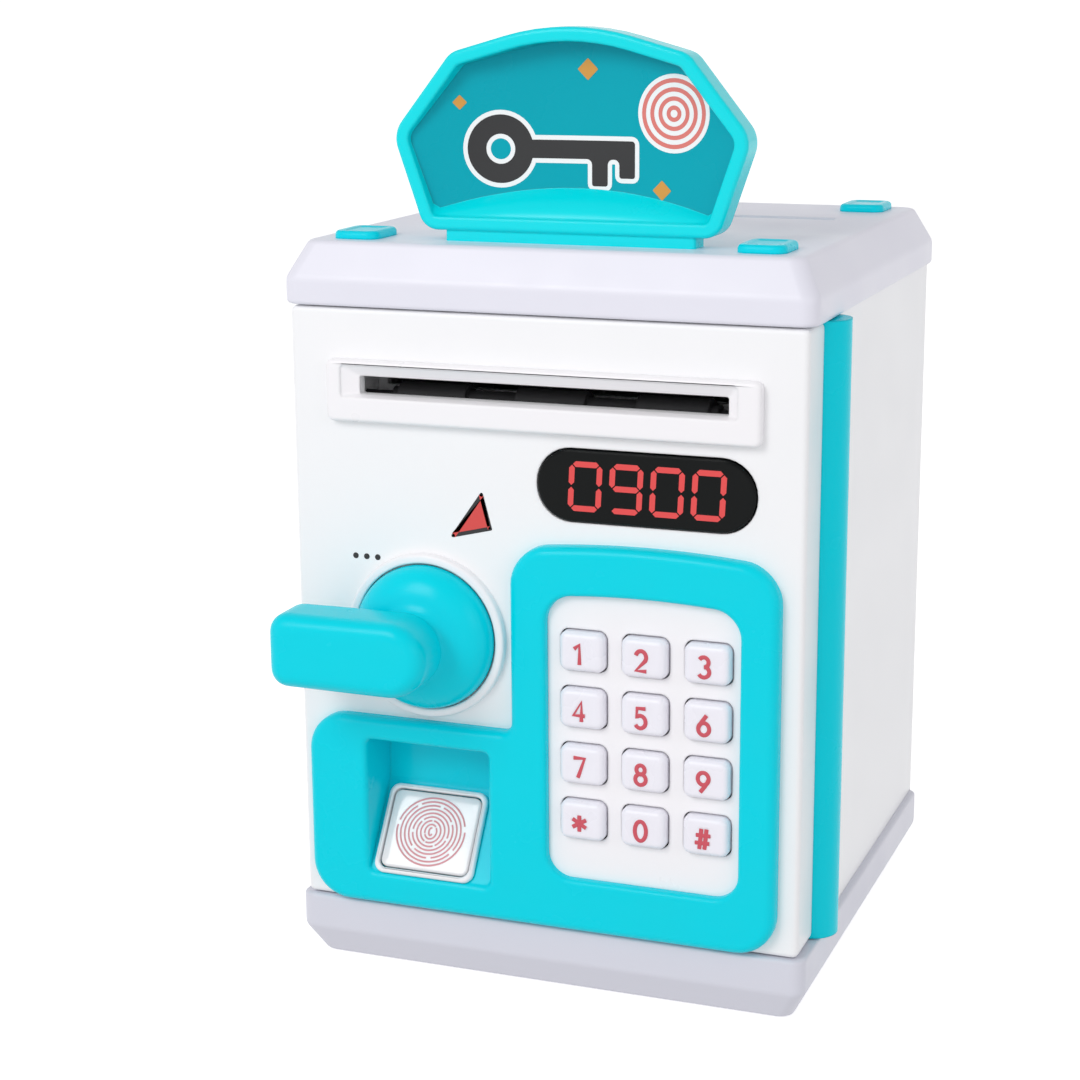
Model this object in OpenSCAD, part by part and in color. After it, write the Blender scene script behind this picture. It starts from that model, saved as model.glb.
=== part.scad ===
// Toy cash-machine savings bank: a moulded box with a hinged front door, a powered note slot,
// a coin slot in the lid, a number keypad, a fingerprint button and a lever knob that works the latch.
// Frame: X to the right, Y to the back, Z up, origin under the middle of the base.

/* [Case] */
// Width of the lid and of the base
case_w = 135; // [134:0.5:137]
// Depth of the lid and of the base
case_d = 132; // [131:0.5:134]
// Height of the lid's flat top above the table
case_h = 187; // [187:0.5:189]
// Thickness of the moulded walls
wall = 2.5; // [2.4:0.1:2.6]
// How far the cabinet's sides stand in from the lid's sides
side_inset = 1.8; // [1.6:0.1:2]
// How far the door's face stands in from the lid's front
face_inset = 1; // [0.8:0.1:1.2]
// Radius of the lid's and base's upright corners
corner_r = 4; // [3:0.5:5]

/* [Base and lid] */
// Height of the base
base_h = 17; // [17:0.1:17.4]
// Height of the base's bottom bevel
base_bevel_h = 8; // [7:0.5:8]
// How far the base's bottom bevel runs in
base_bevel_in = 4.2; // [3.6:0.1:4.4]
// Height of the lid
lid_h = 15.5; // [15.5:0.1:16]
// Height of the lid's upright band, below its bevel
lid_band_h = 6.5; // [6.4:0.1:7]
// How far the lid's top bevel runs in
lid_bevel_in = 4.5; // [4:0.1:4.8]

/* [Header sign] */
// Width of the sign at its widest
sign_w = 88; // [86:1:90]
// Height of the sign above the lid
sign_h = 51; // [50:1:54]
// Thickness of the sign's tray
sign_t = 9; // [9:0.5:10]
// Width of the sign's rim
sign_rim = 3.4; // [3:0.1:4]

/* [Door] */
// Depth of the door from its face to the seam with the cabinet
door_depth = 20; // [20:0.2:20.4]
// Width of the note slot
slot_w = 94; // [90:1:94]
// Height of the note slot
slot_h = 4.6; // [4.5:0.1:4.8]
// Height of the note slot's middle above the table
slot_z = 152.4; // [152:0.1:152.6]

/* [Knob] */
// Radius of the knob's round dome
knob_r = 18.4; // [17.5:0.1:18.6]
// Length of the lever from the knob's axis to its tip
lever_reach = 31.5; // [29:0.5:32.5]
// Height of the lever's face
lever_h = 18.6; // [17:0.2:20]
// Travel of the latch bolt over the knob's quarter turn
bolt_travel = 6; // [6:0.1:6.1]

/* [Keys] */
// Width of a key cap
key_w = 11.6; // [11:0.1:11.8]
// Height of a key cap
key_h = 10; // [9.4:0.1:10.2]
// Distance between key columns
key_pitch_x = 15.8; // [15.6:0.05:15.85]
// Distance between key rows
key_pitch_z = 14.4; // [14.2:0.05:14.5]
// Travel of a key
key_travel = 1.5; // [1:0.1:1.5]

/* [Hidden] */
$fn = 64;
small_fn = 32;
gap = 0.3;           // clearance between parts that move past each other
fit = 0.05;          // radial clearance of a running fit
eps = 0.02;          // overrun of a cut past the face that it opens

KEYS = ["key_1", "key_2", "key_3", "key_4", "key_5", "key_6",
        "key_7", "key_8", "key_9", "key_star", "key_0", "key_hash"];
PADS = ["lid_pad_front_left", "lid_pad_front_right", "lid_pad_back_left", "lid_pad_back_right"];

// ---- Colours ----
TURQUOISE = [0.0, 0.82, 0.87];
TEAL = [0.02, 0.66, 0.7];
WHITE = [0.95, 0.95, 0.96];
PALE_GREY = [0.84, 0.84, 0.9];
DARK = [0.1, 0.11, 0.12];
STEEL = [0.72, 0.73, 0.75];
RUBBER = [0.22, 0.22, 0.23];
BOARD_GREEN = [0.1, 0.42, 0.24];

// ---- Case: derived places ----
band_x = case_w / 2;
band_y = case_d / 2;
skin_x = band_x - side_inset;
face_y = -(band_y - face_inset);
back_y = band_y - face_inset;
lid_z = case_h - lid_h;
roof_z = case_h - wall;
door_z0 = base_h + gap;
door_z1 = lid_z - gap;
inner_x = skin_x - wall;

// The door's seam and the hinge, whose barrel stands half out of the right side wall
seam_y = face_y + door_depth;
hinge_x = skin_x - 1.5;
barrel_r = 6.5;
hinge_pin_r = 1.5;
hinge_pin_grip = 9.5;
barrel_cradle = 1.8;

// Screw posts in the four corners
post_x = 56;
post_ys = [-30, 54];
post_r = 3.8;
post_hole_r = 1.7;
screw_r = 1.5;
post_len = 12;
post_web = 2.4;

// Battery bay in the base: three AA cells side by side, lying along X
cell_r = 7.1;
cell_len = 50.5;
cell_pitch = 15;
bay_y = 30.3;
bay_x = 26.6;
bay_half_y = 1.5 * cell_pitch + 0.1;
box_wall = 1.6;
cell_z = 9.6;
plate_t = 3;
cover_t = 1.8;
cover_x = bay_x + box_wall + 5;
cover_half_y = bay_half_y + box_wall + 1.3;
cover_screw_x = cover_x - 2.2;

// Coin slot and chute
coin_x = 33;
coin_y = 24;
coin_w = 32;
coin_t = 5;
chute_wall = 1.2;
chute_z = 160;

// Header sign
sign_x = 3;
sign_y = -54;
sign_foot_w = 63.5;
sign_tab_x = 22;
sign_tab = [8, 3, 4];

// Lid pads
pad_size = [12, 15, 2];
pad_x = 51.5;
pad_y = 50;
pad_peg_r = 2;

// Note slot and feed rollers
bezel_half_w = 55.3;
bezel_z0 = 143.4;
bezel_z1 = 158.8;
bezel_t = 2.8;
roller_y = face_y + 10;
roller_r = 4.2;
roller_off = 4.4;
shaft_r = 1.5;
frame_x = 52;
frame_t = 2;
gear_module = 0.8;
feed_teeth = 15;
pinion_teeth = 10;
gear_w = 2.5;
gear_boss = 1.2;
gear_x = -57;
motor_z = slot_z - roller_off - gear_module * (feed_teeth + pinion_teeth) / 2;
motor_r = 5;
motor_len = 21;
motor_shaft_r = 0.8;

// Display
display_x = 26.6;
display_z = 131;
display_w = 54.4;
display_h = 17.6;

// Fascia: a tall part round the keypad and a low part round the fingerprint pocket
fascia_t = 4;
fascia_x0 = -62.6;
fascia_x1 = 60.6;
fascia_z0 = 17.9;
low_z1 = 67.9;
tall_x0 = -7.2;
tall_z1 = 114.9;
tall_arch = 2.2;
fascia_r = 9;
window_x0 = 2;
window_x1 = 51.6;
window_z0 = 31.4;
window_z1 = 103.9;
window_arch = 1.3;
window_r = 5;

// Keypad
keys_x = 27.4;
keys_z = 69;
key_cols = 3;
key_rows = 4;
keyhole_gap = 0.3;
key_lip = 0.6;
plate_thick = 1.5;
cap_front_y = face_y - fascia_t;
membrane_y = face_y + 3.5;
membrane_t = 2;
board_t = 1.6;

// Fingerprint pocket, its sloping seat and the frame on it
pocket_x0 = -46.4;
pocket_x1 = -13.2;
pocket_z0 = 26.6;
pocket_z1 = 62;
pocket_back_y = face_y + 11;
pocket_wall = 1.6;
seat_angle = 55.8;
seat_y = face_y - 3.4;
seat_x = -31.6;
seat_len = 23.7;
print_frame = [27.2, 23.6, 1.4];
print_button = [24, 20.4];
print_travel = 1.2;
print_stem = 2;

// Knob and latch
knob_x = -30.2;
knob_z = 90.2;
dome_h = 9;
hub_r = 10;
lever_front_y = face_y - 27;
lever_back_y = face_y - 12;
spindle_r = 3;
back_plate_y0 = seam_y - 2.8;
back_plate_y1 = seam_y - 0.8;
cam_y0 = back_plate_y1 + 0.4;
cam_y1 = cam_y0 + 2.4;
cam_r = 6.4;
cam_pin_r = 1.2;
cam_throw = bolt_travel / sqrt(2);
bolt_y0 = cam_y1 + 0.4;
bolt_y1 = bolt_y0 + 3;
bolt_tip_x = -56.5;
bolt_tail_x = knob_x + 10.7;
bolt_z0 = knob_z - 6.6;
bolt_z1 = knob_z + 9;
nose_z0 = bolt_z0 + 2;
nose_z1 = bolt_z1 - 2;
plunger_x = knob_x - 9.3;
plunger_r = 2;
solenoid_z0 = bolt_z1 + 6.5;
solenoid_z1 = solenoid_z0 + 18;

door_screw_at = [[-57.5, 25.5], [51, 25], [-57.5, 165.9], [50, 165.9]];
door_screw_r = 1.25;
door_post_r = 2.7;

// Speaker under the lid
speaker_x = -26;
speaker_y = 18;
speaker_r = 18;

// ---- Helpers ----
// Rectangle with true round corners, centred
module round_rect(w, h, r) {
    square([w - 2 * r, h], center = true);
    square([w, h - 2 * r], center = true);
    for (sx = [-1, 1], sz = [-1, 1])
        translate([sx * (w / 2 - r), sz * (h / 2 - r)]) circle(r, $fn = small_fn);
}

// Rectangle with round corners, from its corner places
module round_box(x0, x1, z0, z1, r) {
    translate([(x0 + x1) / 2, (z0 + z1) / 2]) round_rect(x1 - x0, z1 - z0, r);
}

// Round-cornered rectangle whose top edge is raised in a shallow arch
module arched_box(x0, x1, z0, z1, r, rise) {
    half = (x1 - x0) / 2 - r / 2;
    arc_r = (half * half + rise * rise) / (2 * rise);
    round_box(x0, x1, z0, z1, r);
    intersection() {
        translate([(x0 + x1) / 2, z1 + rise - arc_r]) circle(arc_r, $fn = 256);
        translate([(x0 + x1) / 2 - half, z1 - r]) square([2 * half, r + rise]);
    }
}

// Extrudes an outline drawn in X and Z between two depths
module slab(y0, y1) {
    translate([0, y1, 0]) rotate([90, 0, 0]) linear_extrude(y1 - y0) children();
}

// Extrudes an outline drawn in Y and Z between two places along X
module slab_x(x0, x1) {
    translate([x0, 0, 0]) rotate([90, 0, 90]) linear_extrude(x1 - x0) children();
}

module block(x0, x1, y0, y1, z0, z1) {
    translate([x0, y0, z0]) cube([x1 - x0, y1 - y0, z1 - z0]);
}

module rod_z(x, y, z0, z1, r) {
    translate([x, y, z0]) cylinder(h = z1 - z0, r = r);
}

module rod_y(x, z, y0, y1, r) {
    translate([x, y0, z]) rotate([-90, 0, 0]) cylinder(h = y1 - y0, r = r);
}

module rod_x(y, z, x0, x1, r) {
    translate([x0, y, z]) rotate([0, 90, 0]) cylinder(h = x1 - x0, r = r);
}

// Upright block with round upright corners, centred on the origin in X and Y
module round_block(half_x, half_y, z0, z1, r) {
    translate([0, 0, z0]) linear_extrude(z1 - z0) round_rect(2 * half_x, 2 * half_y, r);
}

// Places its child at each of the four corner posts
module at_posts() {
    for (sx = [-1, 1], y = post_ys) translate([sx * post_x, y, 0]) children();
}

// Frame of the sloping fingerprint seat: X across, Y up the slope, Z out of the seat
module on_seat() {
    translate([seat_x, seat_y, pocket_z0]) rotate([seat_angle, 0, 0]) children();
}

// ---- Gear teeth ----
function involute_deg(a) = tan(a) * 180 / PI - a;
function half_tooth_deg(r, teeth, pressure, slack) =
    let (pitch = gear_module * teeth / 2, base = pitch * cos(pressure))
    (PI * gear_module / 4 - slack / 2) / pitch * 180 / PI
        + involute_deg(pressure) - involute_deg(acos(min(1, base / r)));

module gear_outline(teeth) {
    pressure = 25;
    slack = 0.16;
    pitch = gear_module * teeth / 2;
    tip = pitch + 0.72 * gear_module;
    root = pitch - 0.95 * gear_module;
    base = max(root, pitch * cos(pressure));
    flank = [for (i = [0:4]) base + (tip - base) * i / 4];
    rs = concat([root - 0.5], flank);
    circle(root);
    halves = [for (r = rs) half_tooth_deg(max(r, base), teeth, pressure, slack)];
    last = len(rs) - 1;
    for (t = [0:teeth - 1]) rotate(90 + t * 360 / teeth)
        polygon(concat([for (i = [0:last]) rs[i] * [cos(halves[i]), sin(halves[i])]],
                       [for (i = [last:-1:0]) rs[i] * [cos(halves[i]), -sin(halves[i])]]));
}

// ---- Base ----
module base_shell() {
    color(PALE_GREY) difference() {
        hull() {
            round_block(band_x - base_bevel_in, band_y - base_bevel_in, 0, 0.01, corner_r);
            round_block(band_x, band_y, base_bevel_h, base_h, corner_r);
        }
        difference() {
            union() {
                round_block(band_x - 7, band_y - 7, -1, base_bevel_h, 2);
                round_block(band_x - 3, band_y - 3, base_bevel_h - 0.5, base_h - wall, 2);
            }
            at_posts() rod_z(0, 0, plate_t, base_h, post_r + 0.4);
            rod_z(hinge_x, seam_y, base_bevel_h, base_h, 2 * hinge_pin_r);
        }
        at_posts() rod_z(0, 0, 0, base_h + 1, post_hole_r);
        rod_z(hinge_x, seam_y, base_h - hinge_pin_grip, base_h + 1, hinge_pin_r);
        block(-bay_x - box_wall - gap, bay_x + box_wall + gap,
              bay_y - bay_half_y - box_wall - gap, bay_y + bay_half_y + box_wall + gap, 5, base_h + 1);
    }
}

module bottom_plate() {
    boss_h = 6;
    color(PALE_GREY) difference() {
        union() {
            round_block(band_x - 7.3, band_y - 7.3, 0, plate_t, 2);
            rod_z(cover_screw_x, bay_y, plate_t - 0.5, plate_t + boss_h, 2.4);
        }
        block(-bay_x - box_wall - gap, bay_x + box_wall + gap,
              bay_y - bay_half_y - box_wall - gap, bay_y + bay_half_y + box_wall + gap, -1, plate_t + 1);
        block(-cover_x - gap, cover_x + gap, bay_y - cover_half_y - gap, bay_y + cover_half_y + gap,
              -1, cover_t + gap);
        at_posts() {
            rod_z(0, 0, -1, plate_t + 1, post_hole_r);
            rod_z(0, 0, -1, 1.9, 3.1);
        }
        rod_z(cover_screw_x, bay_y, -1, plate_t + boss_h - 1, 1);
    }
}

module battery_box() {
    roof = cell_z + cell_r + 0.3;
    out_x = bay_x + box_wall;
    out_y = bay_half_y + box_wall;
    color(WHITE) difference() {
        union() {
            block(-out_x, out_x, bay_y - out_y, bay_y + out_y, cover_t + 0.4, roof + box_wall);
            block(-out_x - 3, out_x + 3, bay_y - out_y - 2, bay_y + out_y + 2,
                  base_h - wall - 2, base_h - wall);
        }
        block(-bay_x, bay_x, bay_y - bay_half_y, bay_y + bay_half_y, 0, roof);
    }
}

module battery_contacts() {
    color(STEEL) for (sx = [-1, 1], i = [-1:1]) {
        translate([0, bay_y + i * cell_pitch, 0]) {
            block(min(sx * (bay_x - 0.5), sx * (bay_x - 0.1)), max(sx * (bay_x - 0.5), sx * (bay_x - 0.1)),
                  -5, 5, cell_z - 5, cell_z + 5);
            rod_x(0, cell_z, min(sx * (bay_x - 0.5), sx * (cell_len / 2 + 0.1)),
                  max(sx * (bay_x - 0.5), sx * (cell_len / 2 + 0.1)), 3);
        }
    }
}

module batteries() {
    nub = 1.2;
    color(DARK) for (i = [-1:1]) {
        turn = i == 0 ? 180 : 0;
        translate([0, bay_y + i * cell_pitch, cell_z]) rotate([0, 0, turn]) {
            rod_x(0, 0, -cell_len / 2, cell_len / 2 - nub, cell_r);
            rod_x(0, 0, cell_len / 2 - nub - eps, cell_len / 2, 2.7);
        }
    }
}

module battery_cover() {
    color(PALE_GREY) difference() {
        block(-cover_x, cover_x, bay_y - cover_half_y, bay_y + cover_half_y, 0.2, cover_t + 0.2);
        rod_z(cover_screw_x, bay_y, -1, cover_t + 1, 1.2);
        rod_z(cover_screw_x, bay_y, -1, 1.3, 2.2);
        for (i = [-2:2]) block(-25, -14, bay_y + i * 4 - 0.6, bay_y + i * 4 + 0.6, -1, 0.7);
    }
}

module cover_screw() {
    color(STEEL) difference() {
        union() {
            rod_z(cover_screw_x, bay_y, 0.3, 1.2, 2);
            rod_z(cover_screw_x, bay_y, 1, 7.6, 0.95);
        }
        screw_cross(cover_screw_x, bay_y, 0.3, 2.2);
    }
}

// Cross recess cut upwards into a screw head
module screw_cross(x, y, z, w) {
    block(x - w / 2, x + w / 2, y - 0.25, y + 0.25, z - 1, z + 0.6);
    block(x - 0.25, x + 0.25, y - w / 2, y + w / 2, z - 1, z + 0.6);
}

module base_screws() {
    color(STEEL) at_posts() difference() {
        union() {
            rod_z(0, 0, 0.3, 1.8, 2.8);
            rod_z(0, 0, 1.5, base_h + post_len - 1.5, screw_r);
        }
        screw_cross(0, 0, 0.3, 3.2);
    }
}

// ---- Cabinet ----
module cabinet() {
    color(WHITE) difference() {
        union() {
            difference() {
                block(-skin_x, skin_x, seam_y, back_y, base_h, lid_z);
                block(-inner_x, inner_x, seam_y - 1, back_y - wall, base_h - 1, lid_z + 1);
            }
            for (z = [base_h, lid_z - post_len]) {
                at_posts() rod_z(0, 0, z, z + post_len, post_r);
                for (sx = [-1, 1], y = post_ys)
                    block(sx > 0 ? post_x : -inner_x - eps, sx > 0 ? inner_x + eps : -post_x,
                          y - post_web / 2, y + post_web / 2, z, z + post_len);
            }
        }
        rod_z(hinge_x, seam_y, base_h - 1, lid_z + 1, barrel_r + gap);
        at_posts() {
            rod_z(0, 0, base_h - 1, base_h + post_len - 1, screw_r + eps);
            rod_z(0, 0, lid_z - post_len - 1, lid_z + 1, post_hole_r);
        }
    }
}

module door_keeper() {
    lip_x = bolt_tip_x - 0.7;
    color(STEEL) difference() {
        block(-inner_x, lip_x, seam_y + 0.2, bolt_y1 + 2.1, nose_z0 - 2.6, nose_z1 + 2.6);
        block(-inner_x - 1, lip_x + 1, bolt_y0 - 0.4, bolt_y1 + 0.4, nose_z0 - 0.5, nose_z1 + 0.5);
    }
}

module hinge_pins() {
    color(STEEL) {
        rod_z(hinge_x, seam_y, base_h - hinge_pin_grip + 1, base_h + hinge_pin_grip, hinge_pin_r);
        rod_z(hinge_x, seam_y, lid_z - hinge_pin_grip, lid_z + 5, hinge_pin_r);
    }
}

// ---- Lid ----
module top_lid() {
    band_top = lid_z + lid_band_h;
    color(PALE_GREY) difference() {
        hull() {
            round_block(band_x, band_y, lid_z, band_top, corner_r);
            round_block(band_x - lid_bevel_in, band_y - lid_bevel_in, case_h - 0.01, case_h, corner_r);
        }
        difference() {
            union() {
                round_block(band_x - wall, band_y - wall, lid_z - 1, band_top, 2);
                round_block(band_x - lid_bevel_in - 1.6, band_y - lid_bevel_in - 1.6, lid_z, roof_z, 2);
            }
            at_posts() rod_z(0, 0, lid_z + 2, roof_z + 1, post_r + 0.4);
            rod_z(hinge_x, seam_y, lid_z, band_top, 2 * hinge_pin_r);
        }
        at_posts() rod_z(0, 0, lid_z, roof_z - 2.5, screw_r + eps);
        rod_z(hinge_x, seam_y, lid_z - 1, lid_z + 5, hinge_pin_r);
        coin_hole(roof_z - 1, case_h + 1, 0);
        for (sx = [-1, 1]) {
            translate([sign_x + sx * sign_tab_x, sign_y + 3, 0])
                block(-sign_tab[0] / 2 - fit, sign_tab[0] / 2 + fit, -fit, sign_tab[1] + fit,
                      roof_z - 1, case_h + 1);
            for (sy = [-1, 1]) rod_z(sx * pad_x, sy * pad_y, roof_z - 1, case_h + 1, pad_peg_r + fit);
        }
    }
}

module coin_hole(z0, z1, grow) {
    block(coin_x - coin_w / 2 - grow, coin_x + coin_w / 2 + grow,
          coin_y - coin_t / 2 - grow, coin_y + coin_t / 2 + grow, z0, z1);
}

module lid_liner() {
    color(WHITE) difference() {
        round_block(band_x - wall - 0.4, band_y - wall - 0.4, lid_z + 0.2, lid_z + 2, 2);
        at_posts() rod_z(0, 0, lid_z - 1, lid_z + 3, post_hole_r);
        rod_z(hinge_x, seam_y, lid_z - 1, lid_z + 3, 2 * hinge_pin_r + gap);
        coin_hole(lid_z - 1, lid_z + 3, chute_wall + gap);
        translate([speaker_x, speaker_y, 0]) for (i = [0:1], a = [0:60:300])
            rotate(a + 30 * i) rod_z(5 + 5 * i, 0, lid_z - 1, lid_z + 3, 1.2);
    }
}

module speaker() {
    z0 = lid_z + 2;
    color(DARK) translate([speaker_x, speaker_y, z0]) rotate_extrude()
        polygon([[0, 2.2], [6, 2.2], [15, 0.3], [speaker_r - 1, 0], [speaker_r, 0], [speaker_r, 2],
                 [14, 4.2], [11, 4.2], [11, 8.4], [0, 8.4]]);
}

module lid_screws() {
    head_z = lid_z - post_len - 1.7;
    color(STEEL) at_posts() difference() {
        union() {
            rod_z(0, 0, head_z, head_z + 1.6, 2.8);
            rod_z(0, 0, head_z + 1, lid_z + 9, screw_r);
        }
        screw_cross(0, 0, head_z, 3.2);
    }
}

module coin_chute() {
    color(WHITE) difference() {
        union() {
            coin_hole(chute_z, roof_z, chute_wall);
            coin_hole(roof_z - 1.5, roof_z, chute_wall + 2.5);
        }
        coin_hole(chute_z - 1, roof_z + 1, 0);
    }
}

// Clip-in pad on one corner of the lid's top
module lid_pad(index) {
    sx = index % 2 == 0 ? -1 : 1;
    sy = index < 2 ? -1 : 1;
    color(TURQUOISE) translate([sx * pad_x, sy * pad_y, case_h]) {
        linear_extrude(pad_size[2] - 0.6) round_rect(pad_size[0], pad_size[1], 3);
        linear_extrude(pad_size[2]) round_rect(pad_size[0] - 1.4, pad_size[1] - 1.4, 2.4);
        rod_z(0, 0, -wall - 1, eps, pad_peg_r);
    }
}

// Outline of the sign's front, measured up from the lid's top; inset narrows it all round
module sign_outline(inset) {
    crown_r = 60;
    crown_half = sign_w / 3;
    hull() {
        intersection() {
            translate([0, sign_h - crown_r]) circle(crown_r - inset, $fn = 256);
            translate([-crown_half + inset, sign_h / 2]) square([2 * (crown_half - inset), sign_h]);
        }
        for (sx = [-1, 1]) {
            translate([sx * (sign_w / 2 - 18.6), 0.74 * sign_h]) circle(7 - inset, $fn = small_fn);
            translate([sx * (sign_w / 2 - 7), 0.51 * sign_h]) circle(7 - inset, $fn = small_fn);
            translate([sx * (sign_w / 2 - 12.5), 7.5]) circle(5 - inset, $fn = small_fn);
        }
    }
}

// Tray open to the front, its floor hollowed in a shallow upright cylinder
module header_sign() {
    floor_rise = 5;
    edge_depth = 2;
    half = sign_w / 2 - sign_rim;
    hollow_r = (half * half + floor_rise * floor_rise) / (2 * floor_rise);
    color(TEAL) translate([sign_x, sign_y, case_h]) difference() {
        union() {
            slab(0, sign_t) sign_outline(0);
            block(-sign_foot_w / 2, sign_foot_w / 2, 0.8, sign_t - 0.8, 0, 6);
            for (sx = [-1, 1])
                block(sx * sign_tab_x - sign_tab[0] / 2, sx * sign_tab_x + sign_tab[0] / 2,
                      3, 3 + sign_tab[1], -sign_tab[2], 1);
        }
        slab(-1, edge_depth) sign_outline(sign_rim);
        intersection() {
            slab(-1, sign_t - 1.5) sign_outline(sign_rim);
            translate([0, edge_depth + floor_rise - hollow_r, 0])
                cylinder(h = sign_h, r = hollow_r, $fn = 256);
        }
    }
}

// ---- Door ----
module fascia_low(grow) {
    round_box(fascia_x0 - grow, tall_x0 + 20, fascia_z0 - grow, low_z1 + grow, fascia_r + grow);
}

module fascia_tall(grow) {
    arched_box(tall_x0 - grow, fascia_x1 + grow, fascia_z0 - grow, tall_z1 + grow,
               fascia_r + grow, tall_arch);
}

// Outline of the fascia, with a fillet where its low and tall parts meet
module fascia_outline(grow) {
    fillet_r = 3;
    fascia_low(grow);
    fascia_tall(grow);
    translate([tall_x0 - grow, low_z1 + grow]) difference() {
        translate([-fillet_r, 0]) square(fillet_r);
        translate([-fillet_r, fillet_r]) circle(fillet_r, $fn = small_fn);
    }
}

module window_outline(grow) {
    arched_box(window_x0 - grow, window_x1 + grow, window_z0 - grow, window_z1 + grow,
               window_r + grow, window_arch);
}

module slot_outline(grow) {
    translate([0, slot_z]) square([slot_w + 2 * grow, slot_h + 2 * grow], center = true);
}

module display_outline(grow) {
    translate([display_x, display_z])
        round_rect(display_w + 2 * grow, display_h + 2 * grow, display_h / 2 + grow - 0.01);
}

module door_shell() {
    pocket_gap = pocket_wall + 0.2;
    pocket_w = pocket_x1 - pocket_x0;
    pocket_h = pocket_z1 - pocket_z0;
    key_block_w = (key_cols - 1) * key_pitch_x + key_w + 2 * key_lip + 1;
    key_block_h = (key_rows - 1) * key_pitch_z + key_h + 2 * key_lip + 1;
    color(WHITE) difference() {
        union() {
            difference() {
                block(-skin_x, skin_x, face_y, seam_y - gap, door_z0, door_z1);
                block(-inner_x, inner_x, face_y + wall, seam_y, door_z0 + wall, door_z1 - wall);
            }
            intersection() {
                rod_z(hinge_x, seam_y, door_z0, door_z1, barrel_r + barrel_cradle);
                block(0, skin_x, face_y, seam_y - gap, door_z0, door_z1);
            }
            for (p = door_screw_at) rod_y(p[0], p[1], face_y + 1, back_plate_y0, door_post_r);
            rod_y(knob_x, knob_z, face_y + 1, face_y + 14, 6);
        }
        rod_z(hinge_x, seam_y, 0, case_h, barrel_r + fit);
        for (p = door_screw_at) rod_y(p[0], p[1], face_y + 5, seam_y, door_screw_r + fit);
        rod_y(knob_x, knob_z, face_y - 1, face_y + 15, spindle_r + fit);
        slab(face_y - 1, face_y + wall + 1) {
            slot_outline(0);
            display_outline(gap);
            translate([keys_x, keys_z]) square([key_block_w, key_block_h], center = true);
            translate([pocket_x0 - pocket_gap, pocket_z0 - pocket_gap])
                square([pocket_w + 2 * pocket_gap, pocket_h + 2 * pocket_gap]);
        }
    }
}

module door_back() {
    color(WHITE) difference() {
        block(-inner_x + gap, hinge_x - barrel_r - barrel_cradle - gap, back_plate_y0, back_plate_y1,
              door_z0 + wall + gap, door_z1 - wall - gap);
        slab(back_plate_y0 - 1, back_plate_y1 + 1) slot_outline(0.4);
        rod_y(knob_x, knob_z, back_plate_y0 - 1, back_plate_y1 + 1, spindle_r + 0.4);
        for (p = door_screw_at) rod_y(p[0], p[1], back_plate_y0 - 1, back_plate_y1 + 1, 1.5);
    }
}

module hinge_barrel() {
    color(TURQUOISE) difference() {
        rod_z(hinge_x, seam_y, door_z0, door_z1, barrel_r);
        rod_z(hinge_x, seam_y, 0, base_h + hinge_pin_grip + 1, hinge_pin_r + fit);
        rod_z(hinge_x, seam_y, lid_z - hinge_pin_grip - 1, case_h, hinge_pin_r + fit);
    }
}

// Raised frame of the note slot: a hood that slopes in above the slot and a lip below it
module slot_bezel() {
    top = slot_z + slot_h / 2;
    color(WHITE) difference() {
        union() {
            slab(face_y - bezel_t + 0.8, face_y)
                round_box(-bezel_half_w, bezel_half_w, bezel_z0, bezel_z1, 1.5);
            slab(face_y - bezel_t, face_y)
                round_box(-bezel_half_w + 0.8, bezel_half_w - 0.8, bezel_z0 + 0.8, bezel_z1 - 0.8, 1);
        }
        slab(face_y - bezel_t - 1, face_y + 1) slot_outline(0);
        slab_x(-slot_w / 2, slot_w / 2)
            polygon([[face_y - bezel_t - 0.1, top - 0.1], [face_y - 0.6, top - 0.1],
                     [face_y - bezel_t - 0.1, bezel_z1 - 1.2]]);
    }
}

module display_window() {
    color(DARK) slab(face_y - 0.6, face_y + 1.4) display_outline(0);
}

module display_module() {
    half_w = display_w / 2 - 6;
    half_h = display_h / 2 - 0.5;
    color(RUBBER) block(display_x - half_w, display_x + half_w, face_y + 1.5, face_y + 8,
                        display_z - half_h, display_z + half_h);
}

// Turquoise front frame, with the keypad window and the pocket for the fingerprint button
module fascia() {
    color(TURQUOISE) difference() {
        union() {
            slab(face_y - fascia_t + 1.2, face_y) fascia_outline(0);
            slab(face_y - fascia_t + 0.4, face_y) fascia_outline(-0.5);
            slab(face_y - fascia_t, face_y) fascia_outline(-1.2);
            block(pocket_x0 - pocket_wall, pocket_x1 + pocket_wall, face_y - eps, pocket_back_y + pocket_wall,
                  pocket_z0 - pocket_wall, pocket_z1 + pocket_wall);
        }
        slab(face_y - fascia_t - 1, face_y + 1) window_outline(0);
        difference() {
            block(pocket_x0, pocket_x1, face_y - fascia_t - 1, pocket_back_y, pocket_z0, pocket_z1);
            on_seat() translate([-50, -20, -60]) cube([100, 60, 60]);
        }
        on_seat() print_block(print_button[0] + 2 * gap, print_button[1] + 2 * gap,
                              -print_stem - print_travel - 1, 1, 2.3);
    }
}

// Round-cornered block centred on the sloping seat
module print_block(w, h, z0, z1, r) {
    translate([0, seat_len / 2, z0]) linear_extrude(z1 - z0) round_rect(w, h, r);
}

module fingerprint_frame() {
    color(WHITE) on_seat() difference() {
        print_block(print_frame[0], print_frame[1], 0, print_frame[2], 2.5);
        print_block(print_button[0] + 2 * gap, print_button[1] + 2 * gap, -1, print_frame[2] + 1, 2.3);
    }
}

module fingerprint_button() {
    color(WHITE) on_seat()
        print_block(print_button[0], print_button[1], -print_stem, print_frame[2] - 0.3, 2);
}

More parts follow.
